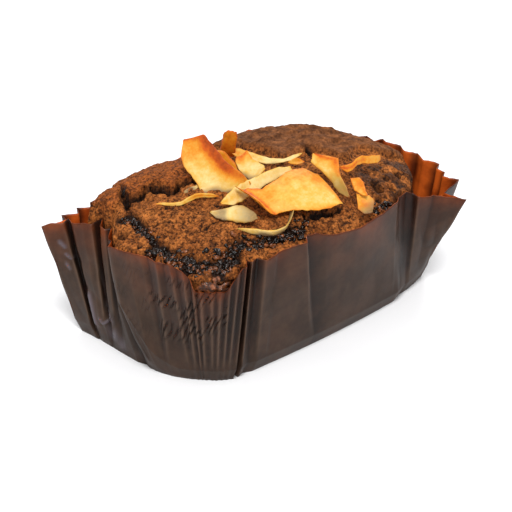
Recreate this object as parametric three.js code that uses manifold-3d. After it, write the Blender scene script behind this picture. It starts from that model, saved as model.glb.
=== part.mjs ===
// A small loaf-shaped chocolate brownie with toasted coconut chips on its cracked crust,
// standing in the dark pleated paper case that it was baked in.
//
// Millimetres, +Z up. The origin is on the flat underside of the case, at its middle.
// X runs along the loaf: the near end is at -X and the far end at +X. The front long wall
// is at -Y and the rear one at +Y. Every outline runs counter-clockwise, seen from above.

import * as THREE from 'three';
import Module from 'manifold-3d';

const wasm = await Module();
wasm.setup();

// Driving dimensions ---------------------------------------------------------------------

const FLOOR_Z = 0;          // underside of the case
const CREASE_Z = 3.8;       // where its slanting foot meets the wall
const PAPER = 0.65;         // thickness of the case's solid
const GAP = 0.35;           // clearance between pieces that touch in real life

// The case's outlines, low and high. Each wall is a flat stretch given by its two ends, and
// bows out by the third number; the corners are arcs between the walls. The rim leans to
// the far end, and the front wall swells between its corners.
const FOOT = {
  front: [[-32, -19.9], [28, -24.2], 1.2],
  far: [[43.5, -14], [43.5, 8], 0],
  rear: [[24, 24.7], [-30, 24.7], 0],
  near: [[-43.5, 11], [-43, -1], 0],
};
const CREASE = {
  front: [[-31.7, -21.6], [28, -26.2], 1.2],
  far: [[45.3, -14], [45.3, 8], 0],
  rear: [[24, 26.5], [-30, 26.5], 0],
  near: [[-45.2, 10], [-44.6, -2], 0],
};
const RIM = {
  front: [[-31, -25.4], [21, -29.4], 3.4],
  far: [[51.6, -13], [51.2, -5], 0.1],
  rear: [[27, 30], [-26, 29.6], 0.6],
  near: [[-48.6, 7.6], [-46.6, -4], 0.2],
};

// The height of the rim along each wall and corner, in even steps counter-clockwise.
const RIM_HEIGHTS = {
  front: [35.4, 35.5, 35.6, 34.8, 33.6],
  right: [33.4, 32.4, 31, 31.4, 32.2, 32.6],
  far: [32.8, 33.2],
  back: [33.3, 33.5, 34, 34.3],
  rear: [34.8, 35, 34.6],
  left: [34.2, 33.6, 33, 32.2, 36.4, 36.8, 33.6],
  near: [33.5, 34.4, 35.2],
  corner: [35.2, 33.7, 34.4, 30.3, 29.3, 28.4, 29.2, 35.4],
};

// The pleated corners. foot and top say how square each corner is, low on the wall and at
// the rim: 1.4 is nearly a chamfer, 2 a round arc and 6 nearly a square corner. folds are
// the places of its ridges along the rim, feet the same along the crease, and depth how
// far the valley after each ridge is pressed in. flare is how far a ridge stands out.
const PLEATS = {
  right: {
    foot: 5, top: 5, folds: [0, 0.35, 0.55, 0.7, 0.85, 1], feet: [0, 0.52, 0.64, 0.76, 0.88, 1],
    depth: [4, 4.4, 3, 2.4, 2], flare: [0, 8, 1, 0.6, 0.4, 0],
  },
  back: evenPleats(10, 1.45, 1.5, 1.8),
  left: {
    foot: 6, top: 6, folds: [0, 0.18, 0.36, 0.53, 0.68, 1], feet: [0, 0.2, 0.38, 0.55, 0.7, 1],
    depth: [1.4, 2.8, 4, 3.4, 4.6], flare: [0, 0.4, 1, 4.2, 0.4, 0],
  },
  corner: evenPleats(9, 1.5, 2.3, 1.25),
};

function evenPleats(count, foot, top, depth) {
  const folds = Array.from({ length: count + 1 }, (_, i) => i / count);
  const flare = folds.map(() => 0);
  return { foot, top, folds, feet: folds, depth: folds.slice(1).map(() => depth), flare };
}

// Small helpers --------------------------------------------------------------------------

const { clamp, lerp, smoothstep, degToRad } = THREE.MathUtils;
const bump = (d, width) => Math.exp(-(d * d) / (width * width));

function along(values, s) {
  const t = clamp(s, 0, 1) * (values.length - 1);
  const i = Math.min(Math.floor(t), values.length - 2);
  return lerp(values[i], values[i + 1], t - i);
}

// Outlines -------------------------------------------------------------------------------

const WALLS = ['front', 'right', 'far', 'back', 'rear', 'left', 'near', 'corner'];

// A quarter of a superellipse, from (0, 1) at fraction 0 to (1, 0) at fraction 1, with the
// fraction measured along the arc.
const arcs = new Map();

function quarterArc(exponent, fraction) {
  if (!arcs.has(exponent)) {
    const points = [];
    for (let i = 0; i <= 60; i++) {
      const angle = (i / 60) * Math.PI / 2;
      const x = Math.sin(angle) ** (2 / exponent);
      const y = Math.max(Math.cos(angle), 0) ** (2 / exponent);
      points.push(new THREE.Vector2(x, y));
    }
    const arc = new THREE.CurvePath();
    for (let i = 0; i < 60; i++) arc.add(new THREE.LineCurve(points[i], points[i + 1]));
    arcs.set(exponent, arc);
  }
  return arcs.get(exponent).getPointAt(clamp(fraction, 0, 1));
}

// The point at fraction s of one wall or corner of an outline. A corner starts along the
// wall before it and ends along the wall after it.
function outlinePoint(outline, wall, s, roundness) {
  if (outline[wall]) {
    const [[x0, y0], [x1, y1], bow] = outline[wall];
    const length = Math.hypot(x1 - x0, y1 - y0);
    const out = (bow * 4 * s * (1 - s)) / length;
    const x = lerp(x0, x1, s) + out * (y1 - y0);
    const y = lerp(y0, y1, s) - out * (x1 - x0);
    return new THREE.Vector2(x, y);
  }
  const order = WALLS.indexOf(wall);
  const [x0, y0] = outline[WALLS[order - 1]][1];
  const [x1, y1] = outline[WALLS[(order + 1) % 8]][0];
  const arc = quarterArc(roundness, s);
  const lengthwise = wall === 'right' || wall === 'left';
  return lengthwise
    ? new THREE.Vector2(lerp(x0, x1, arc.x), lerp(y1, y0, arc.y))
    : new THREE.Vector2(lerp(x1, x0, arc.y), lerp(y0, y1, arc.x));
}

function outwardNormal(outline, wall, s, roundness) {
  const before = outlinePoint(outline, wall, Math.max(s - 0.02, 0), roundness);
  const after = outlinePoint(outline, wall, Math.min(s + 0.02, 1), roundness);
  const run = after.sub(before).normalize();
  return new THREE.Vector2(run.y, -run.x);
}

// Solids ---------------------------------------------------------------------------------

function geometryOf(points, faces) {
  const geometry = new THREE.BufferGeometry();
  const positions = new Float32Array(points.length * 3);
  points.forEach((point, i) => positions.set([point.x, point.y, point.z], i * 3));
  geometry.setAttribute('position', new THREE.BufferAttribute(positions, 3));
  geometry.setIndex(faces);
  geometry.computeVertexNormals();
  return geometry;
}

// Rings of equal length, joined into a skin from the first ring to the last. Each ring is
// a list of indices that runs counter-clockwise, and the skin faces out of the rings.
function joinRings(rings, faces) {
  for (let r = 0; r + 1 < rings.length; r++) {
    const low = rings[r];
    const high = rings[r + 1];
    for (let i = 0; i < low.length; i++) {
      const j = (i + 1) % low.length;
      faces.push(low[i], low[j], high[j], low[i], high[j], high[i]);
    }
  }
}

// The paper case -------------------------------------------------------------------------

// The stations round the case: each is a straight fold or line up the wall, with its place
// along the crease and along the rim, and how far it is pushed in or out at the rim.
function caseStations() {
  const stations = [];
  for (const wall of WALLS) {
    const pleats = PLEATS[wall];
    const heights = RIM_HEIGHTS[wall];
    if (!pleats) {
      const steps = (heights.length - 1) * 2;
      for (let i = 0; i < steps; i++) {
        const s = i / steps;
        stations.push({ wall, foot: s, top: s, push: 0, z: along(heights, s), footRound: 2, topRound: 2 });
      }
      continue;
    }
    for (let i = 0; i + 1 < pleats.folds.length; i++) {
      for (const half of [0, 0.5]) {
        const top = lerp(pleats.folds[i], pleats.folds[i + 1], half);
        const foot = lerp(pleats.feet[i], pleats.feet[i + 1], half);
        const push = half ? -pleats.depth[i] : pleats.flare[i];
        const shape = { footRound: pleats.foot, topRound: pleats.top };
        stations.push({ wall, foot, top, push, z: along(heights, top), ...shape });
      }
    }
  }
  return stations;
}

// The point of a station at level h: 0 at the crease and 1 at the rim.
function casePoint({ wall, foot, top, push, z, footRound, topRound }, h) {
  const low = outlinePoint(CREASE, wall, foot, footRound);
  const high = outlinePoint(RIM, wall, top, topRound);
  const normal = outwardNormal(RIM, wall, top, topRound);
  const spot = low.lerp(high, h).addScaledVector(normal, push * h ** 0.85);
  return new THREE.Vector3(spot.x, spot.y, lerp(CREASE_Z, z, h));
}

function caseLevels(stations) {
  const floor = stations.map(({ wall, foot, footRound }) => {
    const spot = outlinePoint(FOOT, wall, foot, footRound);
    return new THREE.Vector3(spot.x, spot.y, FLOOR_Z);
  });
  const levels = [0, 0.25, 0.5, 0.75, 1].map((h) => stations.map((station) => casePoint(station, h)));
  return [floor, ...levels];
}

// A level moved inwards by the paper's thickness, square to the folded line.
function insetLevel(level, inset, lift) {
  return level.map((point, i) => {
    const before = level[(i + level.length - 1) % level.length];
    const after = level[(i + 1) % level.length];
    const run = new THREE.Vector2(point.x - before.x, point.y - before.y).normalize();
    const next = new THREE.Vector2(after.x - point.x, after.y - point.y).normalize();
    const half = run.clone().add(next).normalize();
    const stretch = inset / Math.max(half.dot(run), 0.5);
    return new THREE.Vector3(point.x - half.y * stretch, point.y + half.x * stretch, point.z + lift);
  });
}

function paperCase() {
  const points = [];
  const faces = [];
  const ring = (level) => level.map((point) => points.push(point) - 1);
  const outer = caseLevels(caseStations());
  const inner = outer.map((level, i) => insetLevel(level, PAPER, i === 0 ? PAPER : 0));
  const outerRings = outer.map(ring);
  const innerRings = inner.map(ring);
  joinRings([...outerRings, ...innerRings.reverse()], faces);
  const under = points.push(new THREE.Vector3(0, 0, FLOOR_Z)) - 1;
  const above = points.push(new THREE.Vector3(0, 0, FLOOR_Z + PAPER)) - 1;
  const count = outerRings[0].length;
  for (let i = 0; i < count; i++) {
    const j = (i + 1) % count;
    faces.push(under, outerRings[0][j], outerRings[0][i]);
    faces.push(above, innerRings[innerRings.length - 1][i], innerRings[innerRings.length - 1][j]);
  }
  return geometryOf(points, faces);
}

// The brownie ----------------------------------------------------------------------------

const CAKE_CELLS = { x: 60, y: 38 };    // cells of the crust's grid along X and Y
const CAKE_EDGE = 33.4;                 // height of the crust's edge at the near end
const CAKE_RISE = 9.2;                  // how far the middle rises above the edge
const CAKE_SPACE = 0.5;                 // between the cake and the flat walls

// The outline of the crust's edge, in the form of the case's outlines.
const CRUST_Z = 32.5;                   // the height where the side of the cake reaches it
const CRUST = {
  front: [[-29.2, -23.1], [19, -27.4], 3.2],
  far: [[46.2, -8], [46, -2], 0.3],
  rear: [[25, 27.2], [-25, 27], 0.9],
  near: [[-47, 6.4], [-43.9, -4], 0],
};

// How square the corners of the cake are, at the crust and low down.
const CRUST_ROUND = { right: 1.6, back: 1.5, left: 2.2, corner: 1.9 };
const FOOT_ROUND = { right: 2, back: 1.4, left: 2.2, corner: 1.45 };

// Deep folds of the case press into two corners of the cake: at a place along the corner,
// over a width along it and by a depth at the crust.
const PRESSED = {
  left: { s: 0.84, width: 0.15, depth: 5.8 },
  right: { s: 0.2, width: 0.12, depth: 3 },
};

// Cracks in the crust, each a line of points with its half width and depth.
const CRACKS = [
  {
    half: 1.5, depth: 3,
    line: [[-33, 14], [-27.4, 14.3], [-26, 9.3], [-24.6, 5.8], [-20.5, 8], [-18.8, 5.4]],
  },
  { half: 0.9, depth: 1.6, line: [[-38.2, 19], [-34.6, 16], [-31.5, 20.2], [-31, 27]] },
  { half: 1.7, depth: 2.4, line: [[-39, 14], [-40.3, 5], [-41.5, -2], [-42.5, -9], [-40.3, -16]] },
  { half: 1.9, depth: 2.6, line: [[-40.3, -16], [-36, -22], [-31, -18.6], [-26, -21.6], [-18, -24.6]] },
  { half: 1.6, depth: 2.2, line: [[-18, -24.6], [-9, -23.6], [0, -24.6], [7.4, -24.4], [14, -21]] },
  {
    half: 1.5, depth: 2.6,
    line: [[9.9, 10], [3, 2], [5.5, -3.5], [15, -3], [23, -4], [30, -8], [36, -13]],
  },
];

function distanceToLine(x, y, line) {
  let nearest = Infinity;
  for (let i = 0; i + 1 < line.length; i++) {
    const [ax, ay] = line[i];
    const [bx, by] = line[i + 1];
    const run = (bx - ax) ** 2 + (by - ay) ** 2;
    const t = clamp(((x - ax) * (bx - ax) + (y - ay) * (by - ay)) / run, 0, 1);
    nearest = Math.min(nearest, Math.hypot(x - lerp(ax, bx, t), y - lerp(ay, by, t)));
  }
  return nearest;
}

// Smooth seeded roughness between -1 and 1, with lumps of about the given size.
function lumps(x, y, size, seed) {
  const hash = (i, j) => {
    const wave = Math.sin(i * 127.1 + j * 311.7 + seed * 74.7) * 43758.5453;
    return (wave - Math.floor(wave)) * 2 - 1;
  };
  const u = x / size;
  const v = y / size;
  const i = Math.floor(u);
  const j = Math.floor(v);
  const fu = (u - i) ** 2 * (3 - 2 * (u - i));
  const fv = (v - j) ** 2 * (3 - 2 * (v - j));
  return lerp(lerp(hash(i, j), hash(i + 1, j), fu), lerp(hash(i, j + 1), hash(i + 1, j + 1), fu), fv);
}

// Plates of crust that the rising crumb has lifted: the outline of each, how far it stands
// above the crust round it, and how wide the step at its edge is.
const PLATES = [
  {
    raise: 2, step: 2.6,
    outline: [
      [-33, 14.5], [-27.4, 14.8], [-25.5, 9.6], [-24, 6.3], [-19, 6.4], [-10, 8], [-2, 14],
      [2, 34], [-31, 34], [-31.5, 20],
    ],
  },
  { raise: 1.2, step: 2.4, outline: [[-40, 19.4], [-35, 16.8], [-32.6, 20.4], [-32.4, 32], [-46, 32]] },
  {
    raise: 1.8, step: 2.6,
    outline: [
      [9.9, 10], [3.6, 3], [5.5, -2.6], [15, -2], [23, -3], [30, -7], [37, -13], [52, -6],
      [50, 20], [30, 34], [10, 34], [7, 20],
    ],
  },
];
const PLATE_SAG = 0.25;                 // share of its rise that a plate loses towards its middle

// The dome under the plates. Its plan is a superellipse with these half lengths and this
// exponent. The rear side stands higher, with a low swelling in it, the far end droops, and
// the middle has sunk under the chips.
const DOME = { x: 48, y: 29, exponent: 2.6, limit: 1.1 };
const REAR = { from: -2, to: 24, rise: 3, left: -24, right: 2 };
const SWELLING = { rise: 0.8, x: 20, width: 13 };
const DROOP = { drop: 1.8, from: 34, to: 46 };
const SUNK = { drop: 1.2, x: -4, y: 3, long: 1.6, width: 9 };

// The size and height of the crust's unevenness, coarse and fine.
const UNEVEN = [{ size: 6, height: 0.45 }, { size: 2.7, height: 0.25 }];

function insideOutline(x, y, outline) {
  let inside = false;
  outline.forEach(([ax, ay], i) => {
    const [bx, by] = outline[(i + 1) % outline.length];
    if ((ay > y) !== (by > y) && x < ax + ((y - ay) * (bx - ax)) / (by - ay)) inside = !inside;
  });
  return inside;
}

// The height of the crust: the dome with its lifted plates and its cracks.
function crustHeight(x, y) {
  const reach = Math.abs(x / DOME.x) ** DOME.exponent + Math.abs(y / DOME.y) ** DOME.exponent;
  const outwards = Math.min(reach ** (1 / DOME.exponent), DOME.limit);
  let z = CAKE_EDGE + CAKE_RISE * (1 - outwards ** 2);
  const rear = smoothstep(y, REAR.from, REAR.to);
  z += REAR.rise * rear * (1 - smoothstep(x, REAR.left, REAR.right));
  z += SWELLING.rise * rear * bump(x - SWELLING.x, SWELLING.width);
  z -= DROOP.drop * smoothstep(x, DROOP.from, DROOP.to);
  z -= SUNK.drop * bump(Math.hypot((x - SUNK.x) / SUNK.long, y - SUNK.y), SUNK.width);
  UNEVEN.forEach(({ size, height }, i) => {
    z += height * lumps(x, y, size, i + 1);
  });
  for (const { raise, step, outline } of PLATES) {
    const depth = distanceToLine(x, y, [...outline, outline[0]]);
    const inwards = insideOutline(x, y, outline) ? depth : -depth;
    const sag = 1 - PLATE_SAG * smoothstep(inwards, 2, 12);
    z += raise * smoothstep(inwards, -step / 2, step / 2) * sag;
  }
  for (const { half, depth, line } of CRACKS) z -= depth * bump(distanceToLine(x, y, line), half);
  return z;
}

// The four sides of a cake outline, each from the middle of one corner to the middle of the
// next. inset moves it inwards, and pressed is how much it feels the case's deep folds.
function cakeSides(outline, rounds, inset, pressed) {
  const spotAt = (wall, s) => {
    const { s: at, width, depth } = PRESSED[wall] ?? { s: 0, width: 1, depth: 0 };
    const push = inset + depth * pressed * bump(s - at, width);
    const normal = outwardNormal(outline, wall, s, rounds[wall]);
    return outlinePoint(outline, wall, s, rounds[wall]).addScaledVector(normal, -push);
  };
  return [0, 2, 4, 6].map((side) => {
    const [start, flat, end] = [WALLS[(side + 7) % 8], WALLS[side], WALLS[side + 1]];
    const spots = [];
    for (let i = 0; i < 12; i++) spots.push(spotAt(start, 0.5 + i / 24));
    for (let i = 0; i <= 6; i++) spots.push(spotAt(flat, i / 6));
    for (let i = 1; i <= 12; i++) spots.push(spotAt(end, i / 24));
    return new THREE.SplineCurve(spots);
  });
}

// A point of the outline for a place on the edge of the square grid, p and q from -1 to 1.
function cakeOutline(sides, p, q) {
  if (q === -1) return sides[0].getPointAt((p + 1) / 2);
  if (p === 1) return sides[1].getPointAt((q + 1) / 2);
  if (q === 1) return sides[2].getPointAt((1 - p) / 2);
  return sides[3].getPointAt((1 - q) / 2);
}

function brownie(lift = 0) {
  const points = [];
  const faces = [];
  const { x: nx, y: ny } = CAKE_CELLS;
  const topSides = cakeSides(CRUST, CRUST_ROUND, 0, 1);
  const grid = [];
  for (let j = 0; j <= ny; j++) {
    for (let i = 0; i <= nx; i++) {
      const p = (2 * i) / nx - 1;
      const q = (2 * j) / ny - 1;
      const size = Math.max(Math.abs(p), Math.abs(q));
      const edge = size ? cakeOutline(topSides, snap(p / size), snap(q / size)) : new THREE.Vector2();
      const spot = edge.multiplyScalar(size);
      grid.push(points.push(new THREE.Vector3(spot.x, spot.y, crustHeight(spot.x, spot.y) + lift)) - 1);
    }
  }
  for (let j = 0; j < ny; j++) {
    for (let i = 0; i < nx; i++) {
      const k = j * (nx + 1) + i;
      faces.push(grid[k], grid[k + 1], grid[k + nx + 2], grid[k], grid[k + nx + 2], grid[k + nx + 1]);
    }
  }
  const border = gridBorder(nx, ny);
  const topRing = border.map(([i, j]) => grid[j * (nx + 1) + i]);
  const rings = [topRing];
  const lowSides = cakeSides(CREASE, FOOT_ROUND, PAPER + CAKE_SPACE, 0);
  const footSides = cakeSides(FOOT, FOOT_ROUND, PAPER + CAKE_SPACE, 0);
  const ringAt = (spotOf, z) => border.map(([i, j]) => {
    const spot = spotOf((2 * i) / nx - 1, (2 * j) / ny - 1);
    return points.push(new THREE.Vector3(spot.x, spot.y, z)) - 1;
  });
  for (const h of [0.9, 0.6, 0.3, 0]) {
    const between = (p, q) => cakeOutline(lowSides, p, q).lerp(cakeOutline(topSides, p, q), h);
    rings.unshift(ringAt(between, lerp(CREASE_Z + GAP, CRUST_Z, h)));
  }
  rings.unshift(ringAt((p, q) => cakeOutline(footSides, p, q), FLOOR_Z + PAPER + GAP));
  joinRings(rings, faces);
  const under = points.push(new THREE.Vector3(0, 0, FLOOR_Z + PAPER + GAP)) - 1;
  rings[0].forEach((index, i) => faces.push(under, rings[0][(i + 1) % rings[0].length], index));
  return geometryOf(points, faces);
}

function snap(value) {
  return Math.abs(Math.abs(value) - 1) < 1e-9 ? Math.sign(value) : value;
}

function gridBorder(nx, ny) {
  const border = [];
  for (let i = 0; i < nx; i++) border.push([i, 0]);
  for (let j = 0; j < ny; j++) border.push([nx, j]);
  for (let i = nx; i > 0; i--) border.push([i, ny]);
  for (let j = ny; j > 0; j--) border.push([0, j]);
  return border;
}

// The coconut chips ----------------------------------------------------------------------

// Each chip is a thin curved shaving. at is its middle, turn its heading, tip and roll (in
// degrees), size its length and width. form says how far its ends and its long edges rise
// above its middle, and the twist in degrees from end to end. ends gives the width of its
// two ends as a share of the full width.
const CHIP = 0.9;           // thickness of a chip
const TRIM = 0.55;          // how far a chip is cut back from what it would run into
const CHIPS = [
  { at: [-16.2, -0.1, 45.2], turn: [-85, -35, 59], size: [21, 11], form: [1.2, 1.6, 10], ends: [0.55, 0.7] },
  { at: [-12.4, -9.4, 43.9], turn: [-7, 7, 52], size: [21, 4.4], form: [0.6, 0.4, 8], ends: [0.5, 0.7] },
  { at: [-5.4, -16.4, 43.2], turn: [-31, -6, 18], size: [27, 15], form: [-1.6, -1.2, -14], ends: [0.75, 0.45] },
  { at: [6.1, -18.1, 43.4], turn: [-98, -57, 44], size: [11.5, 7.4], form: [1.2, 1.5, 6], ends: [0.75, 0.6] },
  { at: [1.5, 0.2, 43.4], turn: [-52, 2, 40], size: [19.5, 3.2], form: [2.2, 0.3, 10], ends: [0.3, 0.3] },
  { at: [-5.4, -1.4, 43.6], turn: [-133, -23, 14], size: [9, 8], form: [0.8, 1.2, 12], ends: [0.9, 0.35] },
  { at: [-3.2, 8.5, 45.9], turn: [49, -65, 20], size: [8.2, 3.9], form: [0.7, 0.6, 8], ends: [0.8, 0.7] },
  { at: [-7.4, 2.9, 45.9], turn: [-69, -42, 108], size: [8, 3], form: [0.5, 0.4, 8], ends: [0.5, 0.6] },
  { at: [-22.4, -12.3, 41.2], turn: [-60, 9, 24], size: [12.5, 6.4], form: [0.6, -0.6, 4], ends: [0.35, 0.6] },
  { at: [16.7, -19.3, 42.1], turn: [-4, 2, 60], size: [15, 3.2], form: [-1.2, 0.3, 20], ends: [0.6, 0.9] },
  { at: [9.6, -24.9, 40.9], turn: [-115, -11, 19], size: [8, 4.2], form: [0.5, 0.5, 14], ends: [0.5, 0.7] },
  { at: [7, -29, 37.9], turn: [-88, -21, 11], size: [6.2, 5], form: [0.3, 0.4, 4], ends: [0.5, 0.7] },
  { at: [-16.3, -20.8, 38.2], turn: [-11, 0, -82], size: [15, 3], form: [6, 0.2, 6], ends: [0.5, 0.8] },
  { at: [-25, 1.2, 40.4], turn: [-44, 4, 70], size: [15.5, 2.2], form: [0.9, 0.2, 14], ends: [0.4, 0.6] },
  { at: [-21.4, 4.4, 41.4], turn: [-16, 8, 21], size: [5, 2.4], form: [0.2, 0.2, 4], ends: [0.4, 0.5] },
  { at: [6, -6.8, 43.4], turn: [-35, 0, 60], size: [4.2, 2.4], form: [0.4, 0.3, 4], ends: [0.7, 0.5] },
];
const CHIP_CELLS = { along: 9, across: 3 };

function chip({ at, turn, size, form: [bend, curl, twist], ends }, grow = 0) {
  const [long, wide] = [size[0] + 2 * grow, size[1] + 2 * grow];
  const thick = CHIP + 2 * grow;
  const { along: nu, across: nv } = CHIP_CELLS;
  const points = [];
  const faces = [];
  const sheet = (side) => {
    const rows = [];
    for (let i = 0; i <= nu; i++) {
      const u = (2 * i) / nu - 1;
      const full = Math.sqrt(Math.max(1 - Math.abs(u) ** 3.2, 0));
      const share = lerp(lerp(ends[0], ends[1], (u + 1) / 2), 1, full);
      const row = [];
      for (let j = 0; j <= nv; j++) {
        const v = (2 * j) / nv - 1;
        const angle = degToRad(twist * u / 2);
        const flat = (v * wide * share) / 2;
        const rise = bend * (u * u - 0.4) + curl * (v * v - 0.4) + (side * thick) / 2;
        row.push(points.push(new THREE.Vector3(
          (u * long) / 2,
          flat * Math.cos(angle) - rise * Math.sin(angle),
          flat * Math.sin(angle) + rise * Math.cos(angle),
        )) - 1);
      }
      rows.push(row);
    }
    return rows;
  };
  const upper = sheet(1);
  const lower = sheet(-1);
  for (let i = 0; i < nu; i++) {
    for (let j = 0; j < nv; j++) {
      const [a, b, c, d] = [upper[i][j], upper[i + 1][j], upper[i + 1][j + 1], upper[i][j + 1]];
      const [e, f, g, h] = [lower[i][j], lower[i + 1][j], lower[i + 1][j + 1], lower[i][j + 1]];
      faces.push(a, b, c, a, c, d, e, g, f, e, h, g);
    }
  }
  const rim = gridBorder(nu, nv);
  joinRings([rim.map(([i, j]) => lower[i][j]), rim.map(([i, j]) => upper[i][j])], faces);
  const place = new THREE.Matrix4().makeTranslation(...at)
    .multiply(new THREE.Matrix4().makeRotationZ(degToRad(turn[0])))
    .multiply(new THREE.Matrix4().makeRotationY(degToRad(-turn[1])))
    .multiply(new THREE.Matrix4().makeRotationX(degToRad(turn[2])));
  return geometryOf(points.map((point) => point.applyMatrix4(place)), faces);
}

function solidOf(geometry) {
  const vertProperties = geometry.getAttribute('position').array;
  const triVerts = new Uint32Array(geometry.getIndex().array);
  return new wasm.Manifold(new wasm.Mesh({ numProp: 3, vertProperties, triVerts }));
}

function geometryOfSolid(solid) {
  const { vertProperties, triVerts, numProp } = solid.getMesh();
  const points = [];
  for (let i = 0; i < vertProperties.length; i += numProp) {
    points.push(new THREE.Vector3(vertProperties[i], vertProperties[i + 1], vertProperties[i + 2]));
  }
  return geometryOf(points, Array.from(triVerts));
}

// What is left of a chip where the crust and the chips before it keep their clearance.
function trimmedChips() {
  const blocks = [solidOf(brownie(TRIM))];
  return CHIPS.map((shape) => {
    let solid = solidOf(chip(shape));
    for (const block of blocks) solid = solid.subtract(block);
    blocks.push(solidOf(chip(shape, TRIM)));
    const bodies = solid.decompose().sort((one, other) => other.volume() - one.volume());
    return geometryOfSolid(bodies[0]);
  });
}

// The whole ------------------------------------------------------------------------------

function material(color, roughness) {
  return new THREE.MeshStandardMaterial({ color, roughness, metalness: 0, side: THREE.DoubleSide });
}

const paperLook = material(0x42362e, 0.5);
const crumbLook = material(0x5f3a22, 0.85);
const toastedLook = material(0xeab35a, 0.55);

function named(name, geometry, look) {
  const mesh = new THREE.Mesh(geometry, look);
  mesh.name = name;
  return mesh;
}

const loaf = new THREE.Group();
loaf.add(named('paper_case', paperCase(), paperLook));
loaf.add(named('brownie', brownie(), crumbLook));
trimmedChips().forEach((geometry, i) => {
  loaf.add(named(`coconut_chip_${String(i + 1).padStart(2, '0')}`, geometry, toastedLook));
});

export default loaf;
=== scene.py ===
import math

import bpy
import numpy as np
from mathutils import Matrix, Vector


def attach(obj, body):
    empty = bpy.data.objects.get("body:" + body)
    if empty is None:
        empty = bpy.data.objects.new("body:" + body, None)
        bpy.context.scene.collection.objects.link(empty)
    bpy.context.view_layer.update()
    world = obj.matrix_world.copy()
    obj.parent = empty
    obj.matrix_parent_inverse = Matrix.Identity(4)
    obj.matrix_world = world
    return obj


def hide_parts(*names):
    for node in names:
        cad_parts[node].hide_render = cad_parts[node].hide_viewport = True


# A small chocolate brownie loaf with toasted coconut chips, in the pleated paper case it was
# baked in. Sizes are in millimetres and in the frame of the CAD model, whose origin is on
# the flat underside of the case; add_piece turns them into metres.

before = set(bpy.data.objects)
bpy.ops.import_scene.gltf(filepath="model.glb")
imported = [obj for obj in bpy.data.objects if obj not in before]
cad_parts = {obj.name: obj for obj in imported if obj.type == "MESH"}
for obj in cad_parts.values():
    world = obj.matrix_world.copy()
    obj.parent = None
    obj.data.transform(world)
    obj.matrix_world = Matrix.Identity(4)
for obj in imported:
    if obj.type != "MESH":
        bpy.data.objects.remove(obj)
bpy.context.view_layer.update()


# The paper case ---------------------------------------------------------------------------
# One sheet of dark brown greaseproof paper, about 0.1 mm thick, pressed into a loaf shape
# over a slanting foot. The corners take up the spare paper in pleats: the near and far ones
# are held tight by the cake, and the left and right ones have sprung open into ears.

PAPER_THICK = 0.14
PAPER_CELL = 0.45
FOLD_WEAR_AND_SHADE_WIDTH = 0.4
SHARP_TURN = 1.2
FRONT_Y = -19
FLOOR_Z = 0
CREASE_Z = 3.8
FOOT_INSET = 1.8
WALLS = ["front", "right", "far", "back", "rear", "left", "near", "corner"]
CREASE = {
    "front": [(-31.7, -21.6), (28, -26.2), 1.2],
    "far": [(45.3, -14), (45.3, 8), 0],
    "rear": [(24, 26.5), (-30, 26.5), 0],
    "near": [(-45.2, 10), (-44.6, -2), 0],
}
RIM = {
    "front": [(-31, -25.4), (21, -29.4), 3.4],
    "far": [(51.6, -13), (51.2, -5), 0.1],
    "rear": [(27, 30), (-26, 29.6), 0.6],
    "near": [(-48.6, 7.6), (-46.6, -4), 0.2],
}
RIM_ROUND = {"back": 1.5}
CREASE_ROUND = {"back": 1.45}
RIM_HEIGHTS = {
    "front": [35.4, 35.7, 36.2, 36.4, 35.2, 34, 33.9, 34, 34.6],
    "back": [33.1, 33.5, 34, 34.3, 34.8],
    "rear": [34.8, 35, 34.6],
}

# The folds that run up the case, counter-clockwise from the front wall. Those of the front,
# back and rear are given by their places on the rim and the crease, and how far each stands
# out at the rim. A place is the number of the wall or corner in WALLS, plus the share of
# the way along it.
FRONT_FOLDS = [
    (0.14, 0.155, 0.1), (0.302, 0.405, 0.4), (0.314, 0.42, -0.8), (0.42, 0.5, 0.1), (0.7, 0.72, 0.25),
    (0.985, 0.93, 0),
]
BACK_PLEATS = [
    (3 + (k + shift) / 10, 3 + (k + shift) / 10, push - (1.6 + 0.5 * (k % 3 == 1)) * (shift > 0))
    for k in range(1, 10) for shift, push in ((0.0, 0.2), (0.38 if k % 2 else 0.62, 0.0))
]
REAR_FOLDS = [(4.0, 4.0, 0), (4.4, 4.4, 0.3), (4.7, 4.7, -0.2), (4.999, 4.999, 0)]
BOWED_PARTS = 12

# To the right of the front wall's double fold the rim steps up, and slopes down again.
RIM_STEP = 1.2
STEP_FROM, STEP_TO = (0.303, 0.313), (0.32, 0.5)

# The others are given by their ends at the rim and at the crease. Where the near end's panel
# laps over the left ear, both creases climb, and the slant under them has points of its own.
RIGHT_EAR = [
    ((24, -27, 33.6), (26.3, -26.2)), ((27.2, -26.8, 33.8), (28.6, -25.6)),
    ((28.7, -27.8, 33), (31.1, -24.8)), ((28.8, -29.8, 32.5), (32.6, -24.9)),
    ((33.3, -31.2, 32), (36, -24.4)), ((39.2, -37.8, 31), (40.8, -23.4)),
    ((38.2, -31.2, 31.2), (41.6, -22.9)), ((46.9, -29.5, 31.4), (44, -22.5)),
    ((45.1, -25.3, 31.6), (44.6, -21.6)), ((47.4, -24.2, 31.9), (45.4, -20.6)),
    ((47.1, -21.7, 32.1), (45.2, -19)), ((50.1, -20.3, 32.3), (45.7, -17.6)),
    ((48.7, -16, 32.6), (45.1, -14.6)), ((50.8, -12, 32.7), (45.5, -11.6)),
    ((49.2, -8.6, 32.9), (45.1, -8.6)), ((51.3, -5.5, 33), (45.5, -5.8)), ((49.6, -1.6, 33.3), (45.2, -2)),
]
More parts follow.
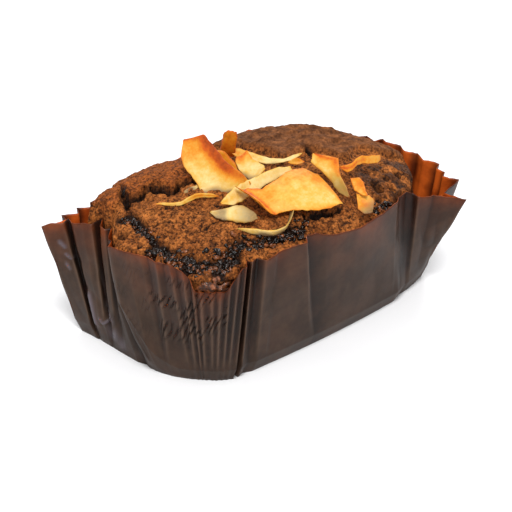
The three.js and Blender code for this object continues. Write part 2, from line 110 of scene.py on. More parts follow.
LEFT_EAR = [
    ((-34, 29.4, 34), (-35, 26.6)), ((-35.5, 27.6, 33.9), (-36, 26.2)),
    ((-38, 30, 33.7), (-38.5, 26.8)), ((-39.6, 27.4, 33.5), (-39.4, 26.2)),
    ((-43, 30.4, 33.2), (-40.8, 26.8)), ((-43.6, 28, 33), (-41.4, 26.2)),
    ((-49.5, 30.7, 32.3), (-43, 27.4)), ((-47.6, 28.6, 33.3), (-43, 23.9)),
    ((-45.5, 26.8, 33), (-43.3, 20.8, 4.8), [(-41.9, 19.9, 0)]),
    ((-43.2, 27.4, 33.3), (-42.1, 21, 4.9), [(-41.6, 19.3, 0)]),
    ((-44.3, 24.9, 33.4), (-43.3, 18.6, 5.6), [(-41.9, 17.6, 0)]),
    ((-43.9, 21.8, 34.2), (-43.7, 16.4, 6.6), [(-42, 15.9, 0)]),
    ((-42.8, 19.2, 34.4), (-43.7, 14.8, 7.6), [(-42.1, 14.4, 0)]),
    ((-38.9, 19.4, 34.6), (-42.5, 14, 8.2), [(-42.1, 13.4, 0)]),
    ((-40.8, 18.2, 33.4), (-44, 12.2, 9.4), [(-42.3, 11.8, 0)]),
    ((-40.6, 16.8, 33), (-44.2, 10.6, 11), [(-42.4, 10, 0)]),
    ((-38.9, 15.9, 33), (-43.4, 9.6, 12), [(-42.5, 8.4, 0)]),
    ((-42.2, 13.4, 33.2), (-44.9, 8, 14), [(-42.6, 6, 0)]),
    ((-44.2, 11.2, 33.4), (-45.9, 6.9, 16.5), [(-42.7, 3.6, 0)]),
    ((-44.2, 10.1, 33.4), (-45.5, 5.5, 18.2), [(-42, 1, 0)]),
]
NEAR_END = [
    ((-47.7, 8, 33.6), (-47.5, 4.8, 19.2),
     [(-42.6, -0.7, 0), (-44.8, -1.4, 4.6), (-46, 0.5, 9.1), (-46.8, 2.6, 14.1)]),
    ((-47.8, 6.8, 34.1), (-47.8, 3.6, 18.7),
     [(-42.5, -1.6, 0), (-45, -2.3, 5), (-46.1, -0.6, 9.4), (-46.95, 1.9, 14.2)]),
    ((-47.7, 4, 34.3), (-47, 0.4, 14.3), [(-42.5, -2.7, 0), (-45.1, -3, 5.6), (-46.2, -1.4, 9.8)]),
    ((-47.6, 1.6, 34.6), (-46.2, -3.1, 9.6), [(-42.4, -3.8, 0), (-45, -4, 5.8)]),
    ((-47.4, -0.6, 34.9), (-45, -4.9, 7), [(-42.2, -5, 0)]),
    ((-47, -3.2, 35.2), (-43.9, -6.6, 5.6), [(-41.8, -6.2, 0)]),
]
PINCHED_PLEATS = [
    ((-46, -4.9, 35), (-43.3, -7.4, 4.9)), ((-46.9, -8.6, 35.4), (-43, -8.3, 4.5)),
    ((-45.8, -10, 35.2), (-42, -10.5)), ((-46.2, -12.7, 35.7), (-40.7, -13.1)),
    ((-45, -13.7, 34.5), (-40.1, -13.8)), ((-45.1, -16, 34.4), (-39.8, -14.6)),
    ((-43.7, -16.8, 32.6), (-39.1, -15.1)), ((-44, -18.3, 30.6), (-39.1, -15.6)),
    ((-42.9, -18.4, 29.2), (-38.6, -15.8)), ((-43, -19.9, 29.4), (-38.5, -16.4)),
    ((-41.7, -20.4, 29.2), (-37.7, -17)), ((-41.2, -21.9, 29.6), (-37.3, -17.9)),
    ((-40, -22.1, 29.2), (-36.8, -18.2)), ((-39.7, -23.3, 29.5), (-36.5, -18.8)),
    ((-38, -23.3, 28.9), (-35.8, -19.1)),
]
OPEN_PLEATS = [
    ((-37.8, -24.7, 30.6), (-35.3, -19.8)), ((-36.1, -24.4, 31.7), (-34.7, -20)),
    ((-35.7, -25.7, 33.8), (-34.2, -20.6)), ((-33.7, -25.1, 34.4), (-33.3, -20.9)),
    ((-33.4, -26.2, 35.1), (-32.5, -21.6)), ((-30.2, -23.1, 34.6), (-31, -20.3)),
    ((-31.5, -26.2, 35.7), (-30.8, -21.9)), ((-28.6, -24.9, 35.2), (-28.3, -21.4)),
    ((-27.7, -27.3, 35.1), (-26, -22.6)),
]
SLANT_LEVELS = np.array([0, 0.25, 0.5, 0.75, 0.93])
WALL_LEVELS = np.concatenate([[0, 0.012, 0.03], np.linspace(0.06, 1, 45)])

# The pinched pleats of the near corner are crossed by short slanting creases, one above the
# other. The left ear has a crumple and glossy spots with a painted sheen, each given by its half
# width and its line across the ear and up.
CREASE_STEP = 2.7
CREASE_LEAN = 1.5
CREASE_DEPTH = 0.3
DENT_DEPTH = 0.5
SHEEN_SPOT_RISE = 0.45
EAR_X = -38
SHEEN_SPOTS = [
    (0.8, [(20.4, 13.8), (19.6, 11.5), (18.4, 6.2)]), (0.4, [(14.6, 12.6), (13.2, 10.8), (11.6, 9.6)]),
    (0.35, [(16.6, 8.2), (15.2, 7.4), (13.4, 8.6)]), (1.3, [(13.2, 5), (9.4, 3.6)]),
    (0.4, [(27.4, 28), (26.4, 26.6)]), (0.35, [(26.2, 24.4), (25.2, 23.4)]),
    (0.35, [(26.4, 21.6), (25.6, 20.4)]),
]

# A soft shadow lies on the front wall to the right of its double fold, which leans to the
# left as it climbs: where it starts, how far it leans, its width and how dark it is.
SHADOW_X, SHADOW_LEAN, SHADOW_WIDE, SHADOW_DARK = -6.6, 8.1, 8, 0.85


def ramp(x, low, high):
    """0 below low, 1 above high and smooth in between."""
    t = np.clip((x - low) / (high - low), 0, 1)
    return t * t * (3 - 2 * t)


def bump(distance, width):
    return np.exp(-((distance / width) ** 2))


def lumps(x, y, size, seed):
    """Smooth seeded roughness between -1 and 1, with lumps of about the given size."""
    def lattice(i, j):
        wave = np.sin(i * 127.1 + j * 311.7 + seed * 74.7) * 43758.5453
        return (wave - np.floor(wave)) * 2 - 1

    u, v = x / size, y / size
    i, j = np.floor(u), np.floor(v)
    fu, fv = (u - i) ** 2 * (3 - 2 * (u - i)), (v - j) ** 2 * (3 - 2 * (v - j))
    low = lattice(i, j) * (1 - fu) + lattice(i + 1, j) * fu
    high = lattice(i, j + 1) * (1 - fu) + lattice(i + 1, j + 1) * fu
    return low * (1 - fv) + high * fv


def distance_to_line(x, y, line):
    nearest = np.full(np.shape(x), 1e9)
    for (ax, ay), (bx, by) in zip(line[:-1], line[1:]):
        t = np.clip(((x - ax) * (bx - ax) + (y - ay) * (by - ay)) / ((bx - ax) ** 2 + (by - ay) ** 2), 0, 1)
        nearest = np.minimum(nearest, np.hypot(x - ax - (bx - ax) * t, y - ay - (by - ay) * t))
    return nearest


def outline_points(outline, wall, s, roundness=2.0):
    """Points at the fractions s of one wall or corner of an outline."""
    if wall in outline:
        (x0, y0), (x1, y1), bow = outline[wall]
        out = bow * 4 * s * (1 - s) / math.hypot(x1 - x0, y1 - y0)
        return np.stack([x0 + (x1 - x0) * s + out * (y1 - y0), y0 + (y1 - y0) * s - out * (x1 - x0)], -1)
    order = WALLS.index(wall)
    x0, y0 = outline[WALLS[order - 1]][1]
    x1, y1 = outline[WALLS[(order + 1) % 8]][0]
    angle = np.linspace(0, math.pi / 2, 241)
    arc = np.stack([np.sin(angle), np.maximum(np.cos(angle), 0)]) ** (2 / roundness)
    run = np.concatenate([[0], np.cumsum(np.hypot(*np.diff(arc)))])
    at_x, at_y = (np.interp(np.clip(s, 0, 1) * run[-1], run, row) for row in arc)
    if wall in ("right", "left"):
        return np.stack([x0 + (x1 - x0) * at_x, y1 + (y0 - y1) * at_y], -1)
    return np.stack([x1 + (x0 - x1) * at_y, y0 + (y1 - y0) * at_x], -1)


def grid_normals(points):
    """Unit normals of a grid of points whose first direction closes on itself."""
    along = np.roll(points, -1, 0) - np.roll(points, 1, 0)
    up = np.gradient(points, axis=1)
    normals = np.cross(along, up)
    return normals / np.maximum(np.linalg.norm(normals, axis=2, keepdims=True), 1e-9)


def ring_faces(count, levels, start=0, flip=False):
    """Quads of a closed skin of points laid out station by station, level by level."""
    i, j = np.meshgrid(np.arange(count), np.arange(levels - 1), indexing="ij")
    a, b = i * levels + j, (i + 1) % count * levels + j
    quads = np.stack([a, b, b + 1, a + 1], -1).reshape(-1, 4) + start
    return quads[:, ::-1] if flip else quads


def add_piece(name, points, faces, material, slot, stands_for=(), **masks):
    """A mesh piece from points in millimetres, that rides on the loaf."""
    mesh = bpy.data.meshes.new(name)
    mesh.from_pydata((np.asarray(points) * 0.001).tolist(), [], [list(face) for face in faces])
    mesh.polygons.foreach_set("use_smooth", np.ones(len(mesh.polygons), bool))
    for mask, values in masks.items():
        layer = mesh.attributes.new(mask, "FLOAT", "POINT")
        layer.data.foreach_set("value", np.asarray(values, np.float32).ravel())
    mesh.validate()
    mesh.materials.append(material)
    piece = bpy.data.objects.new(name, mesh)
    bpy.context.collection.objects.link(piece)
    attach(piece, "root")
    if stands_for:
        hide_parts(*stands_for)
    return piece


def node(tree, kind, inputs=None, **settings):
    """A shader node with its settings, and a value or a link for each named input."""
    made = tree.nodes.new(kind)
    for key, value in settings.items():
        setattr(made, key, value)
    for key, value in (inputs or {}).items():
        if isinstance(value, bpy.types.NodeSocket):
            tree.links.new(value, made.inputs[key])
        else:
            made.inputs[key].default_value = value
    return made


def maths(tree, operation, first, second=0.5, clamp=False):
    made = node(tree, "ShaderNodeMath", {0: first, 1: second}, operation=operation, use_clamp=clamp)
    return made.outputs[0]


def blend_colours(tree, factor, low, high):
    made = node(tree, "ShaderNodeMix", data_type="RGBA", clamp_factor=True)
    for socket, value in ((made.inputs[0], factor), (made.inputs[6], low), (made.inputs[7], high)):
        if isinstance(value, bpy.types.NodeSocket):
            tree.links.new(value, socket)
        else:
            socket.default_value = (*value, 1) if isinstance(value, tuple) else value
    return made.outputs[2]


def mask_of(tree, name):
    return node(tree, "ShaderNodeAttribute", attribute_name=name).outputs["Fac"]


def new_material(name):
    material = bpy.data.materials.new(name)
    material.use_nodes = True
    tree = material.node_tree
    tree.nodes.clear()
    return material, tree


def effect_group(name, inputs, outputs):
    """An empty node group for an effect that several materials share."""
    group = bpy.data.node_groups.new(name, "ShaderNodeTree")
    for label, value in inputs.items():
        socket = group.interface.new_socket(label, in_out="INPUT", socket_type="NodeSocketFloat")
        socket.default_value = value
    for label in outputs:
        group.interface.new_socket(label, in_out="OUTPUT", socket_type="NodeSocketFloat")
    return group, group.nodes.new("NodeGroupInput"), group.nodes.new("NodeGroupOutput")


def use_effect(tree, group, values):
    made = tree.nodes.new("ShaderNodeGroup")
    made.node_tree = group
    for key, value in values.items():
        made.inputs[key].default_value = value
    return made.outputs


# Uneven patches, shared by the paper, the cake and the coconut: Size is in millimetres.
usual = {"Size": 5.0, "Detail": 3.0, "Low": 0.35, "High": 0.65}
patches, at, out = effect_group("Patches", usual, ["Mask"])
place = node(patches, "ShaderNodeTexCoord")
scale = maths(patches, "DIVIDE", 1000.0, at.outputs["Size"])
noise = node(patches, "ShaderNodeTexNoise", {
    "Vector": place.outputs["Object"], "Scale": scale, "Detail": at.outputs["Detail"], "Roughness": 0.6,
})
spread = node(patches, "ShaderNodeMapRange", {
    "Value": noise.outputs["Fac"], "From Min": at.outputs["Low"], "From Max": at.outputs["High"],
})
patches.links.new(spread.outputs["Result"], out.inputs["Mask"])

# Fine relief for bump, shared in the same way.
grain, at, out = effect_group("Grain", {"Size": 0.5, "Detail": 3.0}, ["Height"])
place = node(grain, "ShaderNodeTexCoord")
scale = maths(grain, "DIVIDE", 1000.0, at.outputs["Size"])
noise = node(grain, "ShaderNodeTexNoise", {
    "Vector": place.outputs["Object"], "Scale": scale, "Detail": at.outputs["Detail"], "Roughness": 0.65,
})
grain.links.new(noise.outputs["Fac"], out.inputs["Height"])


def patches_of(tree, size, detail, low, high):
    return use_effect(tree, patches, {"Size": size, "Detail": detail, "Low": low, "High": high})["Mask"]


def fine_relief(tree, size, strength, depth):
    """Normals of a fine grain, of a size in millimetres and a depth in metres."""
    height = use_effect(tree, grain, {"Size": size})["Height"]
    made = node(tree, "ShaderNodeBump", {"Height": height, "Strength": strength, "Distance": depth})
    return made.outputs["Normal"]


def surface_of(tree, colour, roughness, specular, normal):
    return node(tree, "ShaderNodeBsdfPrincipled", {
        "Base Color": colour, "Roughness": roughness, "Specular IOR Level": specular, "Normal": normal,
    }).outputs[0]


def fold_line(rim, crease, slant=()):
    """Points of one fold, up the slanting foot to the crease and up the wall to the rim."""
    crease = np.array((*crease, CREASE_Z)[:3], float)
    if not slant:
        inward = np.clip(crease[:2], (-28, -8), (28, 8)) - crease[:2]
        slant = [(*(crease[:2] + inward * FOOT_INSET / np.linalg.norm(inward)), FLOOR_Z)]
    levels = []
    for line, shares in (([*slant, crease], SLANT_LEVELS), ([crease, rim], WALL_LEVELS)):
        line = np.array(line)
        z = line[0, 2] + (line[-1, 2] - line[0, 2]) * shares
        spots = [np.interp(z, line[:, 2], line[:, axis]) for axis in (0, 1)]
        levels.append(np.column_stack([*spots, z]))
    return np.concatenate(levels)


def placed_folds(folds):
    """Fold lines from places on the rim and the crease, with more between them on the bowed walls."""
    rows = []
    for start, end in zip(folds[:-1], folds[1:]):
        parts = max(math.ceil((end[0] - start[0]) * BOWED_PARTS), 1)
        t = np.arange(parts)[:, None] / parts
        rows.append(np.array(start) * (1 - t) + np.array(end) * t)
    lines = []
    for rim_at, crease_at, push in np.concatenate([*rows, [folds[-1]]]):
        ends = []
        for outline, rounds, at in ((RIM, RIM_ROUND, rim_at), (CREASE, CREASE_ROUND, crease_at)):
            wall = WALLS[int(min(at, math.floor(rim_at) + 0.9999))]
            share = np.array([at - WALLS.index(wall) + step for step in (-0.01, 0, 0.01)])
            ends.append(outline_points(outline, wall, np.clip(share, 0, 1), rounds.get(wall, 2)))
        wall = WALLS[int(rim_at)]
        run = ends[0][2] - ends[0][0]
        out = np.array([run[1], -run[0]]) / np.hypot(*run) * push
        share = rim_at - math.floor(rim_at)
        z = np.interp(share, np.linspace(0, 1, len(RIM_HEIGHTS[wall])), RIM_HEIGHTS[wall])
        if wall == "front":
            z += RIM_STEP * ramp(share, *STEP_FROM) * (1 - ramp(share, *STEP_TO))
        lines.append(fold_line((*(ends[0][1] + out), z), ends[1][1]))
    return lines


def folded_sheet():
    """The fold lines joined into a grid of points, with how worn each point is by a fold, negative
    where a fold sinks and gets painted shade, how crushed, dented and shaded its stretch is, and how
    near it is to a deep valley or ridge."""
    stretches = [
        (placed_folds(FRONT_FOLDS), 0, 0, 0), ([fold_line(*row) for row in RIGHT_EAR], 0, 1, 0.8),
        (placed_folds(BACK_PLEATS), 0, 0.3, 0.85), (placed_folds(REAR_FOLDS), 0, 0.2, 0),
        ([fold_line(*row) for row in LEFT_EAR], 0, 1, 1),
        ([fold_line(*row) for row in NEAR_END], 0.25, 0.3, 0),
        ([fold_line(*row) for row in PINCHED_PLEATS], 1, 0, 0.4),
        ([fold_line(*row) for row in OPEN_PLEATS], 0.1, 0, 0.7),
    ]
    lines = np.array([line for stretch in stretches for line in stretch[0]])
    kinds = np.array([stretch[1:] for stretch in stretches for _ in stretch[0]])
    after = np.roll(lines, -1, 0) - lines
    before = np.roll(after, 1, 0)
    lengths = np.hypot(after[..., 0], after[..., 1])
    turned = np.arctan2(before[..., 0] * after[..., 1] - before[..., 1] * after[..., 0],
                        before[..., 0] * after[..., 0] + before[..., 1] * after[..., 1])
    sharp = np.clip(turned / SHARP_TURN, -1, 1)
    deep = np.array([sharp[:, -1] < -0.5, sharp[:, -1] > 0.5], float)
    grid, fold_wear_and_shade, kind, near_deep = [], [], [], []
    for k in range(len(lines)):
        following = (k + 1) % len(lines)
        cell = PAPER_CELL * (0.6 if kinds[k][0] > 0.5 else 1)
        steps = max(int(lengths[k, -1] / cell), 2)
        for t in np.arange(steps) / steps:
            grid.append(lines[k] + (lines[following] - lines[k]) * t)
            behind, ahead = bump(t * lengths[k], FOLD_WEAR_AND_SHADE_WIDTH), bump((1 - t) * lengths[k], FOLD_WEAR_AND_SHADE_WIDTH)
            fold_wear_and_shade.append(sharp[k] * behind + sharp[following] * ahead)
            kind.append(kinds[k] + (kinds[following] - kinds[k]) * t)
            near_deep.append(deep[:, k] + (deep[:, following] - deep[:, k]) * t)
    return np.array(grid), np.array(fold_wear_and_shade), np.array(kind).T[:, :, None], np.array(near_deep).T[:, :, None]


def paper_skin():
    """Grid of points of the case's outer face, with its masks: the painted glow of light through the
    paper by the rim, worn folds and painted shade in sunk ones, painted shade by how far it lies in a
    hollow, glossy spots with a painted sheen, and the weight and phase of the slanting creases."""
    skin, fold_wear_and_shade, (crushed, dented, shaded), (valley, ridge) = folded_sheet()
    run = np.hypot(*np.diff(skin[:, -1, :2], axis=0, append=skin[:1, -1, :2]).T)
    a, up = np.cumsum(run)[:, None], skin[:, :, 2]
    h = np.concatenate([SLANT_LEVELS * 0, WALL_LEVELS])[None, :]

    # Waves of the loose paper, slanting creases, dents of the ears and the raised spots of painted sheen.
    wave = 0.18 * lumps(a, up, 12, 11) + 0.07 * lumps(a, up, 4.5, 12)
    phase = 0.9 * lumps(np.floor(a / 2.1), 0 * a, 0.7, 13) + 0.3 * lumps(a, up, 3.5, 14)
    phase -= CREASE_LEAN * a / CREASE_STEP
    pinched = crushed * ramp(up, 10, 16) * (1 - 0.75 * ramp(up, 28, 33))
    pinched = pinched * ramp(lumps(a, up, 3.4, 19), -0.35, 0.35)
    crease = pinched * ramp(np.sin(2 * math.pi * (up / CREASE_STEP + phase)), 0.3, 1)
    dents = dented * (np.abs(lumps(a * 0.9 + 0.3 * up, up * 0.45, 4.2, 16)) - 0.4)
    shift = wave * (1 - 0.5 * dented) - CREASE_DEPTH * crease
    shift += DENT_DEPTH * dents * (1 - 0.6 * ramp(h, 0.6, 1))
    sheen_spots = np.zeros(up.shape)
    for half, line in SHEEN_SPOTS:
        spot = bump(distance_to_line(skin[:, :, 1], up, line), half)
        sheen_spots = np.maximum(sheen_spots, spot * (skin[:, :, 0] < EAR_X))
    shift = (shift + SHEEN_SPOT_RISE * sheen_spots) * ramp(up, 3.2, 8)
    skin += grid_normals(skin) * shift[:, :, None]

    # How far each point lies inwards of its neighbours, for painted shade where light doesn't reach,
    # with a painted shadow right of the front fold and in the deep valleys.
    hollow = np.full(up.shape, -1.0)
    for reach, depth in ((5, 0.65), (12, 1.3)):
        nearby = sum(np.roll(skin, k, 0) for k in range(-reach, reach + 1)) / (2 * reach + 1)
        inwards = ((nearby - skin) * grid_normals(nearby)).sum(-1) / depth
        hollow = np.maximum(hollow, np.clip(inwards, -1, 1))
    past_fold = (skin[:, :, 0] - SHADOW_X + SHADOW_LEAN * h) / SHADOW_WIDE
    in_front = (skin[:, :, 1] < FRONT_Y) & (past_fold > 0) & (past_fold < 1)
    hollow = np.maximum(hollow, SHADOW_DARK * in_front * np.maximum(1 - past_fold, 0) ** 1.5)
    inner_hollow = np.maximum(-0.9 * hollow, shaded * ramp(ridge, 0.3, 0.9))
    hollow = np.maximum(hollow, shaded * ramp(valley, 0.05, 0.4) * ramp(h, 0, 0.25))

    # The cut rim is a little ragged, and a painted glow of light shining through the paper makes it
    # reddish up to it.
    ragged = 0.16 * lumps(a, 0 * up, 2.6, 15) + 0.1 * lumps(a, 0 * up, 0.9, 20)
    skin[:, :, 2] += ragged * ramp(h, 0.9, 1)
    patchy = 0.7 + 0.5 * lumps(a, up, 6, 17) + 0.6 * crushed + 0.3 * dented
    rim = 0.35 * ramp(h + 0.08 * lumps(a, up, 7, 30), 0.5, 0.95)
    rim += 0.65 * ramp(h + 0.04 * lumps(a, up, 5, 18), 0.86, 1.01)
    return skin, {
        "rim": rim * patchy, "fold_wear_and_shade": fold_wear_and_shade * ramp(h, 0.0, 0.12), "sheen_spots": sheen_spots, "pinched": pinched,
        "phase": phase, "hollow": hollow, "inner_hollow": inner_hollow,
    }


skin, masks = paper_skin()
count, levels = skin.shape[:2]
lining = skin - grid_normals(skin) * PAPER_THICK
lining[:, 0, 2] = FLOOR_Z + PAPER_THICK
under, above = [0, 0, FLOOR_Z], [0, 0, FLOOR_Z + PAPER_THICK]
points = np.concatenate([skin.reshape(-1, 3), lining.reshape(-1, 3), [under, above]])
ends = np.arange(count) * levels
after = np.roll(ends, -1)
inner = count * levels
rim_here, rim_next = ends + levels - 1, after + levels - 1
faces = [
    *ring_faces(count, levels), *ring_faces(count, levels, inner, flip=True),
    *np.stack([rim_here, rim_next, inner + rim_next, inner + rim_here], -1),
    *np.stack([after, ends, np.full(count, 2 * inner)], -1),
    *np.stack([inner + ends, inner + after, np.full(count, 2 * inner + 1)], -1),
]
inside = np.concatenate([np.zeros(inner), np.ones(inner), [0, 1]])

# Mottled brown paper, paler where a fold stands out. Painted shade makes it nearly black where a
# fold sinks, along the slanting creases and in the hollows. A painted glow of light through the
# paper makes it reddish by the rim, and the inside is rust-coloured, its own fat-soaked tone with
# a painted glow of light through it. Glossy spots on the left ear carry a painted sheen. The
# slanting creases follow their sine wave up the pleats.
paper, tree = new_material("greaseproof_paper")
mottled = patches_of(tree, 7.0, 4.0, 0.4, 0.62)
streaks = patches_of(tree, 1.6, 4.0, 0.4, 0.65)
place = node(tree, "ShaderNodeTexCoord")
spot = node(tree, "ShaderNodeSeparateXYZ", {"Vector": place.outputs["Object"]})
climb = maths(tree, "MULTIPLY", spot.outputs["Z"], 1000 / CREASE_STEP)
climb = maths(tree, "ADD", climb, mask_of(tree, "phase"))
ripple = maths(tree, "SINE", maths(tree, "MULTIPLY", climb, 2 * math.pi))
folded = node(tree, "ShaderNodeMapRange", {"Value": ripple, "From Min": 0.5, "From Max": 1.0})
stroke = maths(tree, "MULTIPLY", folded.outputs["Result"], mask_of(tree, "pinched"))
raised = node(tree, "ShaderNodeMapRange", {"Value": ripple, "From Min": 0.1, "From Max": -0.7})
raised = maths(tree, "MULTIPLY", raised.outputs["Result"], mask_of(tree, "pinched"))
brown = blend_colours(tree, mottled, (0.036, 0.0195, 0.0115), (0.056, 0.031, 0.0185))
brown = blend_colours(tree, maths(tree, "MULTIPLY", streaks, 0.35), brown, (0.024, 0.0145, 0.010))
worn = maths(tree, "ADD", mask_of(tree, "fold_wear_and_shade"), maths(tree, "MULTIPLY", raised, 0.35))
brown = blend_colours(tree, maths(tree, "MULTIPLY", worn, 0.8, clamp=True), brown, (0.12, 0.073, 0.048))
# Painted glow: light shining through the paper, reddish towards the rim.
reddish = blend_colours(tree, mottled, (0.090, 0.022, 0.0070), (0.16, 0.040, 0.0115))
brown = blend_colours(tree, maths(tree, "MULTIPLY", mask_of(tree, "rim"), 0.9, clamp=True), brown, reddish)
# Painted shade: nearly black where a fold sinks and along the slanting creases.
sunk = maths(tree, "MULTIPLY", mask_of(tree, "fold_wear_and_shade"), -0.7, clamp=True)
sunk = maths(tree, "MAXIMUM", sunk, maths(tree, "MULTIPLY", stroke, 0.8))
brown = blend_colours(tree, sunk, brown, (0.006, 0.003, 0.002))
# Painted sheen: a violet-grey reflection on the left ear's glossy spots.
brown = blend_colours(tree, mask_of(tree, "sheen_spots"), brown, (0.120, 0.098, 0.112))
# Inside: the paper's own fat-soaked tone, brightened by a painted glow of light through it.
rust = blend_colours(tree, mottled, (0.29, 0.045, 0.0052), (0.62, 0.115, 0.013))
colour = blend_colours(tree, mask_of(tree, "inside"), brown, rust)
# Painted shade in the hollows, the deep valleys and the front wall's shadow.
shadowed = maths(tree, "MULTIPLY", mask_of(tree, "hollow"), 0.9, clamp=True)
colour = blend_colours(tree, shadowed, colour, (0.0045, 0.0028, 0.002))
fibres = fine_relief(tree, 0.3, 0.25, 0.0001)
relief = node(tree, "ShaderNodeBump", {
    "Height": stroke, "Strength": 0.8, "Distance": -0.0004, "Normal": fibres,
})
gloss = maths(tree, "SUBTRACT", 0.46, maths(tree, "MULTIPLY", mask_of(tree, "sheen_spots"), 0.22))
waxed = surface_of(tree, colour, gloss, 0.2, relief.outputs["Normal"])
glow = blend_colours(tree, mottled, (0.42, 0.075, 0.012), (0.62, 0.13, 0.02))
through = node(tree, "ShaderNodeBsdfTranslucent", {"Color": glow}).outputs[0]
sheet = node(tree, "ShaderNodeMixShader", {0: 0.14, 1: waxed, 2: through}).outputs[0]
node(tree, "ShaderNodeOutputMaterial", {"Surface": sheet})

both_faces = {name: np.concatenate([mask.ravel(), mask.ravel(), [0, 0]]) for name, mask in masks.items()}
both_faces["hollow"] = np.where(inside > 0.5, both_faces.pop("inner_hollow"), both_faces["hollow"])
add_piece("paper_case_sheet", points, faces, paper, "baking_paper", ["paper_case"],
          inside=inside, **both_faces)


# The brownie ------------------------------------------------------------------------------
# A chocolate loaf that rose and cracked as it baked. The rising crumb lifted plates of the
# dry crust, and moist, nearly black crumb shows along the near rim. The cracks, holes, pits
# and crazing are darkened the same way with painted shade.

CRUST_EDGE = 33.4
CRUST_RISE = 9.2
CRUST_Z = 32.5
CAKE_GAP = 0.35
CAKE_INSET = 1.1
CAKE_CREASE_Z = 4.2
CAKE_FOOT_Z = 0.6
CRUST = {
    "front": [(-30.2, -24.3), (20, -28.4), 3.3],
    "far": [(46.2, -8), (46, -2), 0.3],
    "rear": [(25, 27.8), (-25, 27.6), 0.9],
    "near": [(-47.7, 6.4), (-45.6, -4), 0],
}
CRUST_ROUND = {"right": 1.6, "back": 1.5, "left": 2.2, "corner": 2.1}
FOOT_ROUND = {"right": 2, "back": 1.4, "left": 2.2, "corner": 1.45}

# Half width, depth and line of each crack in the crust.
CRACKS = [
    (0.7, 1.9, [(-35.8, 12.6), (-33.6, 15.9), (-31.4, 13.9), (-28.8, 13.9), (-27.4, 13.9), (-26.7, 12.4),
                (-25.6, 9), (-24.9, 7.6), (-23.8, 7.2), (-21.4, 7.7), (-19, 6.8), (-17.2, 5.9)]),
    (0.55, 2, [(-35.6, 13), (-33.3, 17.2), (-31.3, 19.6), (-29.6, 21.6), (-29.4, 26)]),
    (0.8, 1.8, [(-41.4, 20.6), (-41.1, 17.5), (-40.6, 15)]),
    (0.35, 1.2, [(-7.4, -20.7), (-6.8, -22.2), (-5.4, -22.8)]),
    (0.95, 1.6, [(-5.2, -22.9), (-3.5, -22.8), (-1.6, -23.1), (0, -23.8)]),
    (0.5, 1.4, [(0, -23.8), (2.9, -23.6), (4.9, -23.6)]),
    (0.3, 0.8, [(-33, -8), (-30, -9.6), (-27, -9.2)]),
    (0.3, 0.8, [(-38, 2.4), (-34, 0), (-32, -3.4)]),
    (0.25, 0.7, [(-26, -2), (-22.6, -4.4), (-21, -8)]),
    (0.25, 0.7, [(-30.6, 4.6), (-27, 3), (-24.4, -0.6)]),
]

# The same for the bands where the crust is gone and the moist crumb shows.
BARE = [
    (1.0, 1.2, [(-40.4, 17.8), (-40.2, 16), (-41.6, 14), (-43, 14)]),
    (1.5, 1.3, [(-39.5, 11.4), (-38.1, 10.4), (-38.1, 8.1), (-38.5, 5.9), (-39.1, 3.2), (-40, 0.6),
                (-40.9, -1.8)]),
    (1.8, 1.3, [(-45, -3.4), (-43.6, -4.4), (-41.9, -4.4), (-41.6, -6.3), (-41.8, -8.7)]),
    (2.9, 1.8, [(-41.8, -8.7), (-41.5, -11.2), (-40.5, -13.6), (-39, -16), (-37.5, -18.2), (-36.4, -19.8),
                (-34.2, -20.3), (-31.8, -19.2)]),
    (2.1, 1.6, [(-31.8, -19.2), (-30.6, -17.9), (-29, -17.8), (-27.4, -18.6), (-25.2, -19.9),
                (-22.4, -21.3)]),
    (2.0, 1.6, [(-22.4, -21.3), (-19.4, -22.3), (-16.8, -23), (-13.9, -23.5), (-11.1, -23.8)]),
    (1.1, 1.4, [(-11.1, -23.8), (-9.4, -23), (-7.4, -22.4)]),
    (1.1, 1.2, [(12.8, -27.3), (16, -27.6), (20.4, -27.6)]),
]

# Plates of crust that stand above the rest: how far, how soft their edge is, and the outline.
PLATES = {
    "rear_left": (2.0, 0.3, [
        (-35.4, 13.4), (-33.8, 16.5), (-31.3, 14.5), (-28.8, 14.6), (-27.2, 14.5), (-26.2, 12.5),
        (-25.1, 9.3), (-24.7, 8.2), (-23.9, 7.9), (-21.3, 8.4), (-19, 7.4), (-17.4, 6.5), (-10, 8.6),
        (-2, 14), (2, 34), (-28.6, 34), (-28.8, 24), (-29.4, 21.4), (-31.2, 19.5),
    ]),
    "second_tier": (0.7, 0.3, [
        (-24.1, 7), (-21.9, 7.8), (-17.6, 5.9), (-19.4, 2.4), (-21, 0.4), (-23.8, 1.9),
    ]),
    "torn_left": (2.1, 0.3, [
        (-36, 26.4), (-30.2, 28), (-30.3, 21.8), (-32.2, 19.5), (-36.4, 15.3), (-38.5, 15.9), (-39.6, 19.4),
        (-39, 21.3), (-40.5, 23),
    ]),
    "far_dome": (1.8, 1.0, [
        (7.5, 16), (6.9, 12.1), (8, 7.3), (6.1, -1.6), (14.5, -1.5), (16.2, -2.2), (19.2, -10.5),
        (22.5, -11.2), (30.2, -7.2), (36.3, -11), (52, -14), (52, -6), (50, 20), (30, 34), (10, 34),
    ]),
}

